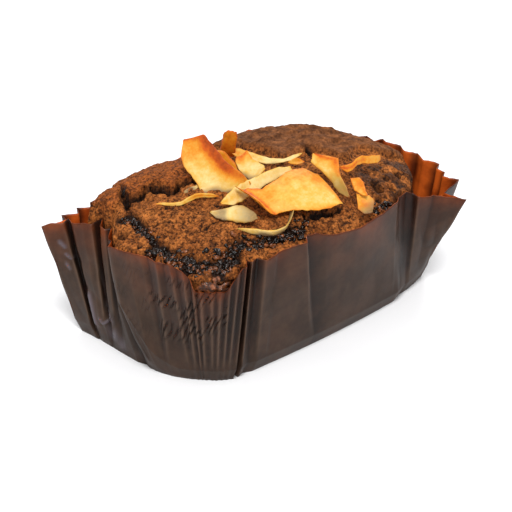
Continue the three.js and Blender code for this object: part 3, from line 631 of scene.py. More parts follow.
# Low ridges where the far dome's skin has flowed, and round holes that burst bubbles left,
# each given by its middle and its radius. HOLE_DEEP is a share of the radius.
RIDGE_HIGH = 0.8
RIDGE_WIDE = 0.9
RIDGES = [
    [(14.2, 3.2), (17.9, 3.6), (21.1, -1), (24.8, -2.5), (26.9, -3.8)],
    [(10, 9), (18, 9.6), (26, 5), (34, 3)],
    [(12, 15), (21, 16), (30, 11), (37, 8)],
]
HOLE_DEEP = 1.3
HOLES = [
    (-43, 7.1, 1.3), (-46.4, 7.9, 1.0), (-43.6, 0.4, 0.7), (-27, -13.6, 0.5), (-22.6, -16, 0.45),
    (15.8, -1.9, 1.0), (20.5, -22.4, 2.1), (24.6, -24.2, 1.2), (28, -18.6, 1.0), (16.6, -25.4, 0.9),
    (31, -20, 1.2), (25.8, -20.8, 0.9), (-35.6, 4.2, 0.5), (-31, -4.6, 0.4), (13.4, -24.4, 0.7),
    (4.6, -26.2, 0.6), (-12.6, -25.4, 0.4),
]

# How high the crust's flakes stand and in how many steps, and how deep its pits and crazing go.
FLAKE_HIGH = 0.36
FLAKE_STEPS = 2.4
PIT_DEEP = 0.4
CRAZE_DEEP = 0.3


def depth_inside(x, y, outline):
    """How far a point lies inside an outline, negative outside it."""
    inside = np.zeros(np.shape(x), bool)
    for (ax, ay), (bx, by) in zip(outline, outline[1:] + outline[:1]):
        if ay != by:
            inside ^= ((ay > y) != (by > y)) & (x < ax + (y - ay) * (bx - ax) / (by - ay))
    depth = distance_to_line(x, y, outline + outline[:1])
    return np.where(inside, depth, -depth)


def crust_dome(x, y):
    """The crust's height without its plates, cracks and roughness."""
    reach = (np.abs(x / 48) ** 2.6 + np.abs(y / 29) ** 2.6) ** (1 / 2.6)
    z = CRUST_EDGE + CRUST_RISE * (1 - np.minimum(reach, 1.1) ** 2)
    rear = ramp(y, -2, 24)
    z += 3 * rear * (1 - ramp(x, -24, 2)) + 0.8 * rear * bump(x - 20, 13)
    return z - 1.8 * ramp(x, 34, 46) - 1.2 * bump(np.hypot((x + 4) / 1.6, y - 3), 9)


def crust_surface(x, y):
    """Height of the crust, and the masks of its moist parts and painted shade, its dome and its plates."""
    wx = x + 0.5 * lumps(x, y, 2.2, 21) + 0.35 * lumps(x, y, 0.9, 22)
    wy = y + 0.5 * lumps(x, y, 2.2, 23) + 0.35 * lumps(x, y, 0.9, 24)
    z = crust_dome(x, y) + 0.45 * lumps(x, y, 6, 1) + 0.25 * lumps(x, y, 2.7, 2)
    inwards = {}
    for name, (raised, soft, outline) in PLATES.items():
        inwards[name] = depth_inside(wx, wy, outline)
        z += raised * ramp(inwards[name], -soft, soft) * (1 - 0.25 * ramp(inwards[name], 2, 12))
    dome = ramp(inwards["far_dome"], -0.5, 1)
    plate = np.maximum(ramp(inwards["rear_left"], -0.1, 0.4), ramp(inwards["torn_left"], -0.1, 0.4))
    # The cracks and, below, the burst-bubble holes darken this mask: painted shade in the gaps.
    wet = np.zeros(np.shape(x))
    for half, depth, line in CRACKS:
        gap = np.exp(-((distance_to_line(wx, wy, line) / half) ** 4))
        z -= depth * gap
        wet = np.maximum(wet, ramp(gap, 0.15, 0.5))
    bare = np.zeros(np.shape(x))
    for half, depth, line in BARE:
        uneven = 1 + 0.45 * lumps(x, y, 2.4, 25)
        here = 1 - ramp(distance_to_line(wx, wy, line) / (half * uneven), 0.65, 1.05)
        z -= depth * here * (1 - bare)
        bare = np.maximum(bare, here)
    for hx, hy, radius in HOLES:
        hole = 1 - ramp(np.hypot(wx - hx, wy - hy) / radius, 0.6, 1.15)
        z -= HOLE_DEEP * radius * hole
        wet = np.maximum(wet, hole)
    for line in RIDGES:
        z += RIDGE_HIGH * bump(distance_to_line(x, y, line), RIDGE_WIDE)

    # Flakes in low steps, grit, the open moist crumb, and the wrinkles of the plates and dome.
    rough = 1 - 0.5 * plate - 0.75 * dome
    steps = (lumps(x, y, 4.2, 26) + 0.5 * lumps(x, y, 1.7, 27)) * FLAKE_STEPS
    flakes = (np.floor(steps) + ramp(steps - np.floor(steps), 0.72, 1)) / FLAKE_STEPS
    z += FLAKE_HIGH * (1 - 0.7 * dome) * flakes
    z += rough * (0.22 * lumps(x, y, 0.95, 3) + 0.2 * lumps(x, y, 0.62, 4))
    z += bare * (0.6 * np.abs(lumps(x, y, 1.5, 5)) + 0.4 * np.abs(lumps(x, y, 0.8, 6)))
    z += plate * 0.1 * lumps(x, y, 0.8, 7)
    wrinkles = 1 - np.abs(lumps(x * 0.5 + y * 0.4, y * 1.5, 3.6, 8))
    z += dome * (0.7 * wrinkles + 0.12 * lumps(x, y, 1.1, 10))

    # Pits and crazing. The crust is gone in patches at the right end of the front.
    pits = ramp(lumps(x, y, 1.3, 9) * (1 - bare), 0.66, 0.82) * rough
    crazed = ramp(np.abs(lumps(wx, wy, 3.4, 28)), 0.07, 0.0) * ramp(lumps(x, y, 7, 29), -0.3, 0.3) * rough
    z -= PIT_DEEP * pits + CRAZE_DEEP * crazed
    right_end = ramp(x + 0.5 * lumps(x, y, 3, 31), 14, 20)
    right_end = right_end * (1 - ramp(y + 0.8 * lumps(x, y, 3, 32), -17, -12))
    patches_bare = right_end * ramp(lumps(x, y, 2.6, 33), -0.5, 0.1)
    # The bare crumb and the patches where the crust is gone darken for real; the pits and crazing get
    # painted shade.
    for mask in (bare, 0.75 * patches_bare, 0.6 * pits, 0.45 * crazed):
        wet = np.maximum(wet, mask)
    return z, wet, dome, plate


def room_at(z):
    """How far out the lining lies at a height, for every degree around the loaf."""
    spots = np.array([[np.interp(z, row[:, 2], row[:, axis]) for axis in (0, 1)] for row in lining])
    spots = np.concatenate([spots, (spots + np.roll(spots, -1, 0)) / 2])
    reach = np.hypot(*spots.T)
    degree = np.round(np.degrees(np.arctan2(spots[:, 1], spots[:, 0]))).astype(int) % 360
    room = np.full(360, 99.0)
    np.minimum.at(room, degree, reach)
    known = np.flatnonzero(room < 99)
    room = np.interp(np.arange(360), known, room[known], period=360)
    return np.minimum(room, np.minimum(np.roll(room, 1), np.roll(room, -1)))


def fit_in(spots, room):
    """Spots drawn in where they would touch the lining."""
    degree = np.degrees(np.arctan2(spots[..., 1], spots[..., 0]))
    limit = np.interp(degree, np.arange(360), room, period=360) - CAKE_GAP
    reach = np.maximum(np.hypot(spots[..., 0], spots[..., 1]), 1e-6)
    return spots * np.minimum(limit / reach, 1)[..., None]


def cake_sides(outline, rounds, inset):
    """The four sides of a cake outline, each from the middle of a corner to the next one's."""
    sides = []
    for side in (0, 2, 4, 6):
        spots = []
        for wall, start, end in ((WALLS[side - 1], 0.5, 1), (WALLS[side], 0, 1), (WALLS[side + 1], 0, 0.5)):
            spots.append(outline_points(outline, wall, np.linspace(start, end, 120), rounds.get(wall, 2)))
        line = np.concatenate(spots)
        line = line * (1 - inset / np.linalg.norm(line, axis=1, keepdims=True))
        run = np.concatenate([[0], np.cumsum(np.hypot(*np.diff(line, axis=0).T))])
        sides.append((run / run[-1], line))
    return sides


def outline_at(sides, p, q):
    """Points of the outline for places on the edge of the square from -1 to 1."""
    spots = np.zeros((*np.shape(p), 2))
    picks = [(q <= -1 + 1e-9, (p + 1) / 2), (p >= 1 - 1e-9, (q + 1) / 2),
             (q >= 1 - 1e-9, (1 - p) / 2), (p <= -1 + 1e-9, (1 - q) / 2)]
    for (chosen, t), (run, line) in reversed(list(zip(picks, sides))):
        for axis in (0, 1):
            spots[..., axis] = np.where(chosen, np.interp(t, run, line[:, axis]), spots[..., axis])
    return spots


CELLS_X, CELLS_Y = 330, 214
p, q = np.meshgrid(np.linspace(-1, 1, CELLS_X + 1), np.linspace(-1, 1, CELLS_Y + 1), indexing="ij")
size = np.maximum(np.abs(p), np.abs(q))
solid_size = np.maximum(size, 1e-9)
top_sides = cake_sides(CRUST, CRUST_ROUND, 0)
rim_room = np.minimum(room_at(33.5), room_at(31))
spots = fit_in(outline_at(top_sides, p / solid_size, q / solid_size), rim_room) * size[..., None]
height, wet, dome, plate = crust_surface(spots[..., 0], spots[..., 1])
height -= 1.2 * ramp(size, 0.965, 1) ** 2
grid = np.arange((CELLS_X + 1) * (CELLS_Y + 1)).reshape(CELLS_X + 1, CELLS_Y + 1)
quads = np.stack([grid[:-1, :-1], grid[1:, :-1], grid[1:, 1:], grid[:-1, 1:]], -1).reshape(-1, 4)
top_points = np.dstack([spots, height]).reshape(-1, 3)

border = np.concatenate([grid[:-1, 0], grid[-1, :-1], grid[:0:-1, -1], grid[0, :0:-1]])
bp, bq = p.ravel()[border], q.ravel()[border]
edge = fit_in(outline_at(top_sides, bp, bq), rim_room)
low = outline_at(cake_sides(CREASE, FOOT_ROUND, CAKE_INSET), bp, bq)
around = np.concatenate([[0], np.cumsum(np.hypot(*np.diff(edge, axis=0).T))])
rings = []
for h in (0.96, 0.9, 0.82, 0.74, 0.66, 0.55, 0.4, 0.2, 0):
    spot = low + (edge - low) * h
    z = CAKE_CREASE_Z + (CRUST_Z - CAKE_CREASE_Z) * h
    level = np.full(len(around), z)
    swell = 0.35 * lumps(around, level, 3.4, 41) + 0.2 * lumps(around, level, 1.2, 42)
    outward = spot / np.linalg.norm(spot, axis=1, keepdims=True)
    spot = fit_in(spot + outward * (swell * ramp(h, 0.1, 0.5))[:, None], room_at(z))
    rings.append(np.column_stack([spot, level]))
foot = fit_in(low * (1 - FOOT_INSET / np.linalg.norm(low, axis=1, keepdims=True)), room_at(CAKE_FOOT_Z))
rings.append(np.column_stack([foot, np.full(len(foot), CAKE_FOOT_Z)]))
side_points = np.concatenate(rings)
total = len(top_points)
ids = [border] + [total + np.arange(len(border)) + k * len(border) for k in range(len(rings))]
sides = []
for upper, lower in zip(ids[:-1], ids[1:]):
    sides.append(np.stack([upper, lower, np.roll(lower, -1), np.roll(upper, -1)], -1))
middle = total + len(side_points)
base = np.stack([ids[-1], np.full(len(border), middle), np.roll(ids[-1], -1)], -1)
points = np.concatenate([top_points, side_points, [[0, 0, CAKE_FOOT_Z]]])
extra = len(side_points) + 1


def with_sides(mask, value):
    return np.concatenate([mask.ravel(), np.full(extra, value)])


# Speckled brown crust, redder on the lifted plates and smoother on the far dome, with dark
# flecks, and nearly black where it is moist and, as painted shade, in its cracks, holes, pits and
# crazing.
crumb, tree = new_material("chocolate_crumb")
broad = patches_of(tree, 5.0, 4.0, 0.4, 0.6)
flaky = patches_of(tree, 2.2, 6.0, 0.42, 0.58)
fine = patches_of(tree, 0.7, 3.0, 0.42, 0.58)
speckle = maths(tree, "ADD", maths(tree, "MULTIPLY", flaky, 0.4), maths(tree, "MULTIPLY", fine, 0.6))
flecks = patches_of(tree, 0.85, 2.0, 0.57, 0.62)
flowed = patches_of(tree, 2.6, 4.0, 0.38, 0.62)
crust_dark = blend_colours(tree, broad, (0.034, 0.0098, 0.0027), (0.080, 0.0235, 0.0060))
crust_light = blend_colours(tree, broad, (0.34, 0.102, 0.0215), (0.51, 0.168, 0.037))
crust = blend_colours(tree, speckle, crust_dark, crust_light)
lifted = blend_colours(tree, speckle, (0.078, 0.0205, 0.0050), (0.38, 0.100, 0.0190))
smooth_dark = blend_colours(tree, speckle, (0.058, 0.020, 0.0073), (0.110, 0.039, 0.0135))
smooth_light = blend_colours(tree, speckle, (0.17, 0.058, 0.0185), (0.29, 0.107, 0.036))
smooth = blend_colours(tree, flowed, smooth_dark, smooth_light)
colour = blend_colours(tree, maths(tree, "MULTIPLY", mask_of(tree, "plate"), 0.85), crust, lifted)
colour = blend_colours(tree, mask_of(tree, "dome"), colour, smooth)
rough_crust = maths(tree, "SUBTRACT", 0.75, maths(tree, "MULTIPLY", mask_of(tree, "dome"), 0.6))
colour = blend_colours(tree, maths(tree, "MULTIPLY", flecks, rough_crust), colour, (0.020, 0.0065, 0.0028))
# Nearly black for the moist crumb, and as painted shade in the cracks, holes, pits and crazing.
moist = blend_colours(tree, speckle, (0.0045, 0.002, 0.0013), (0.020, 0.0075, 0.0035))
colour = blend_colours(tree, mask_of(tree, "wet"), colour, moist)
dry = maths(tree, "SUBTRACT", 1.0, mask_of(tree, "wet"))
rough = maths(tree, "ADD", maths(tree, "MULTIPLY", dry, 0.45), 0.38)
surface = surface_of(tree, colour, rough, 0.1, fine_relief(tree, 0.6, 0.9, 0.0006))
node(tree, "ShaderNodeOutputMaterial", {"Surface": surface})

faces = [*quads, *np.concatenate(sides), *base]
add_piece("brownie_loaf", points, faces, crumb, "chocolate_crumb", ["brownie"],
          wet=with_sides(wet, 0.45), dome=with_sides(dome, 0), plate=with_sides(plate, 0))


# The moist crumbs -------------------------------------------------------------------------
# Soft, nearly black crumbs and burst bubbles that glisten where the crust has come away.

def blobs(centres, radii, seed, rough=0.3, flat=0.8):
    """Small lumpy balls at the centres, as one mesh. Each is an icosahedron cut finer once."""
    t = (1 + math.sqrt(5)) / 2
    corners = np.array([
        (-1, t, 0), (1, t, 0), (-1, -t, 0), (1, -t, 0), (0, -1, t), (0, 1, t), (0, -1, -t), (0, 1, -t),
        (t, 0, -1), (t, 0, 1), (-t, 0, -1), (-t, 0, 1),
    ])
    tris = [
        (0, 11, 5), (0, 5, 1), (0, 1, 7), (0, 7, 10), (0, 10, 11), (1, 5, 9), (5, 11, 4), (11, 10, 2),
        (10, 7, 6), (7, 1, 8), (3, 9, 4), (3, 4, 2), (3, 2, 6), (3, 6, 8), (3, 8, 9), (4, 9, 5),
        (2, 4, 11), (6, 2, 10), (8, 6, 7), (9, 8, 1),
    ]
    ball = [corner / np.linalg.norm(corner) for corner in corners]
    halves, fine = {}, []

    def halfway(a, b):
        key = (min(a, b), max(a, b))
        if key not in halves:
            spot = ball[a] + ball[b]
            halves[key] = len(ball)
            ball.append(spot / np.linalg.norm(spot))
        return halves[key]

    for a, b, c in tris:
        ab, bc, ca = halfway(a, b), halfway(b, c), halfway(c, a)
        fine += [(a, ab, ca), (b, bc, ab), (c, ca, bc), (ab, bc, ca)]
    ball, fine = np.array(ball), np.array(fine)
    draw = np.random.default_rng(seed)
    lump = 1 + rough * draw.uniform(-1, 1, (len(centres), len(ball)))
    stretch = draw.uniform(0.6, 1.4, (len(centres), 1, 3)) * (1, 1, flat)
    spots = centres[:, None] + ball[None] * lump[..., None] * stretch * radii[:, None, None]
    tri = fine[None] + (np.arange(len(centres)) * len(ball))[:, None, None]
    return spots.reshape(-1, 3), tri.reshape(-1, 3)


def along_lines(bands, per_mm, draw, spread=0.5):
    """Random places within the bands."""
    places = []
    for half, _, line in bands:
        for (ax, ay), (bx, by) in zip(line[:-1], line[1:]):
            length = math.hypot(bx - ax, by - ay)
            number = int(length * half * per_mm)
            t, off = draw.uniform(0, 1, number), draw.normal(0, spread, number) * half
            places.append(np.stack([ax + (bx - ax) * t - (by - ay) / length * off,
                                    ay + (by - ay) * t + (bx - ax) / length * off], -1))
    return np.concatenate(places)


def within_rim(places, room=0.9):
    """The places that lie on the crust and not too near its edge."""
    degree = np.degrees(np.arctan2(places[:, 1], places[:, 0]))
    outline = np.concatenate([line for _, line in top_sides])
    inside = depth_inside(places[:, 0], places[:, 1], [tuple(spot) for spot in outline[::12]])
    lining_at = np.interp(degree, np.arange(360), rim_room, period=360)
    return (inside > room) & (np.hypot(*places.T) < lining_at - CAKE_GAP - room)


draw = np.random.default_rng(7)
places = along_lines(BARE, 6.5, draw)
places = places[within_rim(places)]
sizes = 0.18 + 0.62 * draw.uniform(0, 1, len(places)) ** 2
z = crust_surface(places[:, 0], places[:, 1])[0]
points, faces = blobs(np.column_stack([places, z + sizes * 0.15]), sizes, 8, rough=0.5, flat=0.85)
baked = np.repeat(draw.uniform(0, 1, len(places)) > 0.76, len(points) // len(places))

moist_look, tree = new_material("moist_crumb")
speckle = patches_of(tree, 1.2, 3.0, 0.42, 0.6)
colour = blend_colours(tree, speckle, (0.004, 0.002, 0.0013), (0.018, 0.007, 0.003))
brown_bit = blend_colours(tree, speckle, (0.06, 0.018, 0.005), (0.22, 0.065, 0.017))
colour = blend_colours(tree, mask_of(tree, "baked"), colour, brown_bit)
surface = surface_of(tree, colour, 0.2, 0.32, fine_relief(tree, 0.35, 0.4, 0.0002))
node(tree, "ShaderNodeOutputMaterial", {"Surface": surface})
add_piece("moist_crumbs", points, faces, moist_look, "chocolate_crumb", baked=baked)


# The dry crumbs ---------------------------------------------------------------------------
# Grains of crust that have flaked off and lie loose on the loaf, thickest by the cracks.

strewn = np.column_stack([draw.uniform(-46, 22, 1300), draw.uniform(-28, 12, 1300)])
beside = along_lines(BARE, 4, draw, spread=1.3)
places = np.concatenate([strewn, beside])
z, moist_and_shade_here, on_dome, on_plate = crust_surface(places[:, 0], places[:, 1])
keep = within_rim(places, 0.7) & (moist_and_shade_here < 0.4) & (on_dome < 0.3) & (on_plate < 0.3)
places, z = places[keep], z[keep]
sizes = 0.1 + 0.2 * draw.uniform(0, 1, len(places)) ** 2
points, faces = blobs(np.column_stack([places, z + sizes * 0.25]), sizes, 9, rough=0.4, flat=0.7)

grains, tree = new_material("dry_crumb")
speckle = patches_of(tree, 0.8, 2.0, 0.4, 0.62)
colour = blend_colours(tree, speckle, (0.07, 0.021, 0.006), (0.36, 0.115, 0.03))
surface = surface_of(tree, colour, 0.75, 0.15, fine_relief(tree, 0.2, 0.4, 0.0001))
node(tree, "ShaderNodeOutputMaterial", {"Surface": surface})
add_piece("dry_crumbs", points, faces, grains, "chocolate_crumb")


# The batter bulge -------------------------------------------------------------------------
# Where the rim dips at the near corner, batter has swelled up against the case and set shiny.

BULGE_AT = np.array([-37.9, -18.5, 29.2])
BULGE_OUT = np.array([-0.732, -0.682, 0])
BULGE_HALF = (3.1, 4.8, 3.5)
BULGE_TURNS, BULGE_LEVELS = 120, 61
turn = np.linspace(0, 2 * math.pi, BULGE_TURNS + 1)[:-1]
turn, rise = np.meshgrid(turn, np.linspace(0, math.pi, BULGE_LEVELS), indexing="ij")
ball = np.stack([np.sin(rise) * np.cos(turn), np.sin(rise) * np.sin(turn), np.cos(rise)], -1)
tangent = np.array([-BULGE_OUT[1], BULGE_OUT[0], 0])
lumpy_at = ball[..., 1] * 5, ball[..., 2] * 4
lumpy = 0.10 * lumps(*lumpy_at, 1.4, 51) + 0.07 * lumps(*lumpy_at, 0.55, 52)
spots = ball * (1 + lumpy)[..., None]
points = (BULGE_AT + spots[..., :1] * BULGE_OUT * BULGE_HALF[0] + spots[..., 1:2] * tangent * BULGE_HALF[1]
          + spots[..., 2:] * np.array([0, 0, BULGE_HALF[2]]))
faces = ring_faces(BULGE_TURNS, BULGE_LEVELS)

batter, tree = new_material("set_batter")
speckle = patches_of(tree, 1.3, 4.0, 0.42, 0.6)
shiny = patches_of(tree, 1.8, 1.0, 0.5, 0.6)
colour = blend_colours(tree, speckle, (0.035, 0.011, 0.004), (0.24, 0.068, 0.017))
rough = maths(tree, "SUBTRACT", 0.6, maths(tree, "MULTIPLY", shiny, 0.42))
surface = surface_of(tree, colour, rough, 0.5, fine_relief(tree, 0.6, 0.7, 0.0004))
node(tree, "ShaderNodeOutputMaterial", {"Surface": surface})
add_piece("batter_bulge", points.reshape(-1, 3), faces, batter, "chocolate_crumb")


# The coconut chips ------------------------------------------------------------------------
# Thin shavings of dried coconut, strewn on the raw batter. They toasted from cream to
# orange and red-brown where they stand proud, and are soaked and greyish where they sank in.

# Place and turn (heading, tip, roll) as in the CAD model. The span is where the chip starts
# and ends along its length, and the two edges are given at even stations between them. Then
# come bend, curl and twist, and how toasted it is: all over, at most, where along and across
# that is, and what the end where the chip starts has on top.
CHIP_THICK = 0.5
CHIP_CELLS = 3.4
CHIPS = [
    ((-16.2, -0.1, 45.2), (-85, -35, 59), (-12.6, 7.6), (-0.6, 4.2, 4.1, 4, 3.7, 4, 4.5, 4.9, 5.2),
     (-1.2, -4.2, -5.2, -5.3, -5.6, -6, -5.6, -3.6, 4), (1.2, 1.6, 10), (0.14, 0.72, 0, 0.75, 0.26)),
    ((-12.4, -9.4, 43.9), (-7, 7, 52), (-11.4, 11.6), (0.1, 1.4, 1.9, 2.1, 2, 1.9, 1.8, 1.5, 0.4),
     (-0.2, -1.8, -2, -1.8, -1.5, -1, -0.9, -0.9, -1), (0.6, 0.4, 8), (0.05, 0.15, -0.9, 0, 0)),
    ((-5.4, -16.4, 43.2), (-31, -6, 18), (-15.5, 10.9), (0.2, 0.3, -0.6, 1.6, 4.2, 6.2, 7.1, 5, -5.8),
     (0, -8.3, -8.8, -7.8, -7.7, -8.3, -8, -7.6, -6), (-1.6, -1.2, -14), (0.24, 0.26, 0.75, 0.6, 0.22)),
    ((6.1, -18.1, 43.4), (-98, -57, 44), (-6.5, 6.9), (-1.8, 1, 3.6, 3.2, 2.6, 2.5, 2.8, 3, 2.9),
     (-2.2, -3.5, -2.8, -1.8, -1, -0.4, 0.1, 0.6, 2.6), (0.5, 0.6, 6), (0.24, 0.4, -0.6, 0.6, 0)),
    ((1.5, 0.2, 43.4), (-52, 2, 40), (-9.8, 9.8), (3, 3, 2.5, 1.5, 0.8, 0.3, 0.3, 1.4, 1.8),
     (2.6, 0.7, -0.1, -0.7, -1, -1.3, -0.9, 0, 1.6), (0.6, 0.3, 10), (0.05, 0.15, -0.9, 0, 0.22)),
    ((-5.4, -1.4, 43.6), (-133, -23, 14), (-6, 3.7), (-0.6, -0.1, 0.5, 1.6, 2.7, 3.5, 3.7, 2.1, -0.5),
     (-0.7, -2.2, -3.6, -3.8, -3.4, -2.8, -2.3, -1.5, -0.6), (0.8, 1.2, 12), (0.06, 0.2, -0.4, -0.5, 0.38)),
    ((-3.2, 8.5, 45.9), (49, -65, 20), (-6.2, 3.2), (0.6, 1.7, 1.9, 2.1, 2.2, 2.3, 2.4, 2.5, 2.3),
     (-1.7, -1.8, -1.8, -1.8, -1.7, -1.7, -1.7, -1.6, -1.5), (0.4, 0.4, 6), (0.5, 0.1, 0, 0, 0)),
    ((-7.4, 2.9, 45.9), (-69, -42, 108), (-5, 3.2), (-2, -1.3, -0.9, -0.9, -1.1, -1.1, -1.1, -1.5, -2),
     (-2.2, -2.6, -2.9, -3.3, -3.6, -3.8, -3.7, -3.2, -2.4), (0.5, 0.4, 8), (0.4, 0.2, 0, 0, 0)),
    ((-22.4, -12.3, 41.2), (-60, 9, 24), (-6.4, 5.6), (-0.1, 0.6, 1.3, 1.9, 2.4, 2.1, 1.2, 0, -1.4),
     (-0.5, -1.8, -2.2, -2.5, -2.7, -3, -3.1, -3, -2.4), (0.5, -0.5, 4), (0.06, 0.1, -0.9, 0, 0)),
    ((16.7, -19.3, 42.1), (-4, 2, 60), (-6.3, 8.6), (2.4, 2.2, 2, 2.7, 2.8, 2.3, 1.8, 1.3, 0.7),
     (2.1, 0.1, 0.3, 0.9, 0.9, -0.1, -0.5, -1, -0.4), (-0.8, 0.3, 16), (0.4, 0.25, -0.6, 0, 0)),
    ((9.6, -24.9, 40.9), (-115, -11, 19), (-4, 4.4), (-0.2, 1.4, 1.7, 1.7, 1.5, 1.3, 1, 0.8, 0.6),
     (-0.6, -0.8, -1, -1.2, -1.4, -1.1, -0.9, -0.6, 0.3), (0.4, 0.4, 14), (0.42, 0.2, 0.3, 0.5, 0)),
    ((7, -29, 37.9), (-88, -21, 11), (-3.6, 2.7), (1.3, 1.8, 2.4, 3, 3.1, 3.1, 2.7, 1.6, 0.6),
     (1.1, 0.4, -0.3, -1.1, -1.9, -1.8, -1.7, -1.6, 0.2), (0.3, 0.4, 4), (0.35, 0.2, 0, 0, 0)),
    ((-18.1, -20.5, 38.3), (-11, 0, -68), (-8.2, 7.6), (-0.3, 0.6, 0.9, 1, 1, 1.2, 1.6, 2, 1.9),
     (-0.6, -0.8, -0.8, -0.8, -0.8, -0.9, -1.1, -1.5, -1.6), (5.4, 0.2, 40), (0.05, 0.08, 0, 0, 0.08)),
    ((-25, 1.2, 40.4), (-44, 4, 70), (-8.5, 7.2), (0.3, 0.4, 0.2, 0.2, 1.1, 1.9, 2, 1.7, 0.9),
     (0, -0.4, -0.8, -0.8, -0.2, 0.5, 0.7, 0.6, 0.6), (0.4, 0.2, 14), (0.25, 0.3, 0.7, 0, 0)),
    ((-21.4, 4.4, 41.4), (-16, 8, 21), (-2.3, 2.5), (0.1, 0.5, 0.6, 0.7, 0.7, 0.7, 0.6, 0.6, 0.2),
     (-0.2, -0.4, -0.5, -0.6, -0.6, -0.5, -0.4, -0.3, -0.1), (0.2, 0.2, 4), (0.05, 0, 0, 0, 0)),
    ((6, -6.8, 43.4), (-35, 0, 60), (-2.1, 2.1), (0.2, 0.5, 0.8, 0.9, 1, 1, 0.8, 0.4, 0.1),
     (-0.2, -0.4, -0.5, -0.6, -0.7, -0.7, -0.6, -0.4, -0.2), (0.3, 0.3, 4), (0.4, 0, 0, 0, 0)),
]

# The chips whose far end has soaked up fat from the cake, and how far. Chip 14 lies low but
# stayed drier, as if it lay higher.
SOAKED_ENDS = {4: 0.6, 9: 0.8, 12: 0.85, 13: 0.5}
DRY_CHIP, DRY_LIFT = 14, 1.3

# Chip 03's end is turned up into a lip: where it starts, the way it lies, and its width.
LIP_CHIP = 3
LIP_FROM, LIP_WAY, LIP_WIDE = (-15.6, -0.3), (8.5, 6.6), 2.2

# Cream to orange and red-brown with the heat, greyish brown where soaked; a little light
# shines through.
coconut, tree = new_material("toasted_coconut")
grilled = patches_of(tree, 3.2, 5.0, 0.35, 0.68)
veins = patches_of(tree, 0.8, 3.0, 0.35, 0.7)
blotches = maths(tree, "MULTIPLY", maths(tree, "SUBTRACT", grilled, 0.5), 0.22)
lines = maths(tree, "MULTIPLY", maths(tree, "SUBTRACT", veins, 0.5), 0.07)
heat = maths(tree, "ADD", mask_of(tree, "toast"), blotches)
heat = maths(tree, "ADD", heat, lines, clamp=True)
toasting = node(tree, "ShaderNodeValToRGB", {"Fac": heat})
stops = toasting.color_ramp.elements
stops[0].position, stops[0].color = 0.0, (0.87, 0.65, 0.27, 1)
stops[1].position, stops[1].color = 1.0, (0.24, 0.032, 0.004, 1)
stops.new(0.25).color = (0.76, 0.45, 0.070, 1)
stops.new(0.45).color = (0.78, 0.28, 0.014, 1)
stops.new(0.7).color = (0.62, 0.105, 0.0045, 1)
soaked = blend_colours(tree, veins, (0.13, 0.075, 0.035), (0.30, 0.19, 0.095))
colour = blend_colours(tree, mask_of(tree, "soaked"), toasting.outputs["Color"], soaked)
surface = surface_of(tree, colour, 0.5, 0.3, fine_relief(tree, 0.5, 0.35, 0.00015))
through = node(tree, "ShaderNodeBsdfTranslucent", {"Color": colour}).outputs[0]
flesh = node(tree, "ShaderNodeMixShader", {0: 0.18, 1: surface, 2: through}).outputs[0]
node(tree, "ShaderNodeOutputMaterial", {"Surface": flesh})

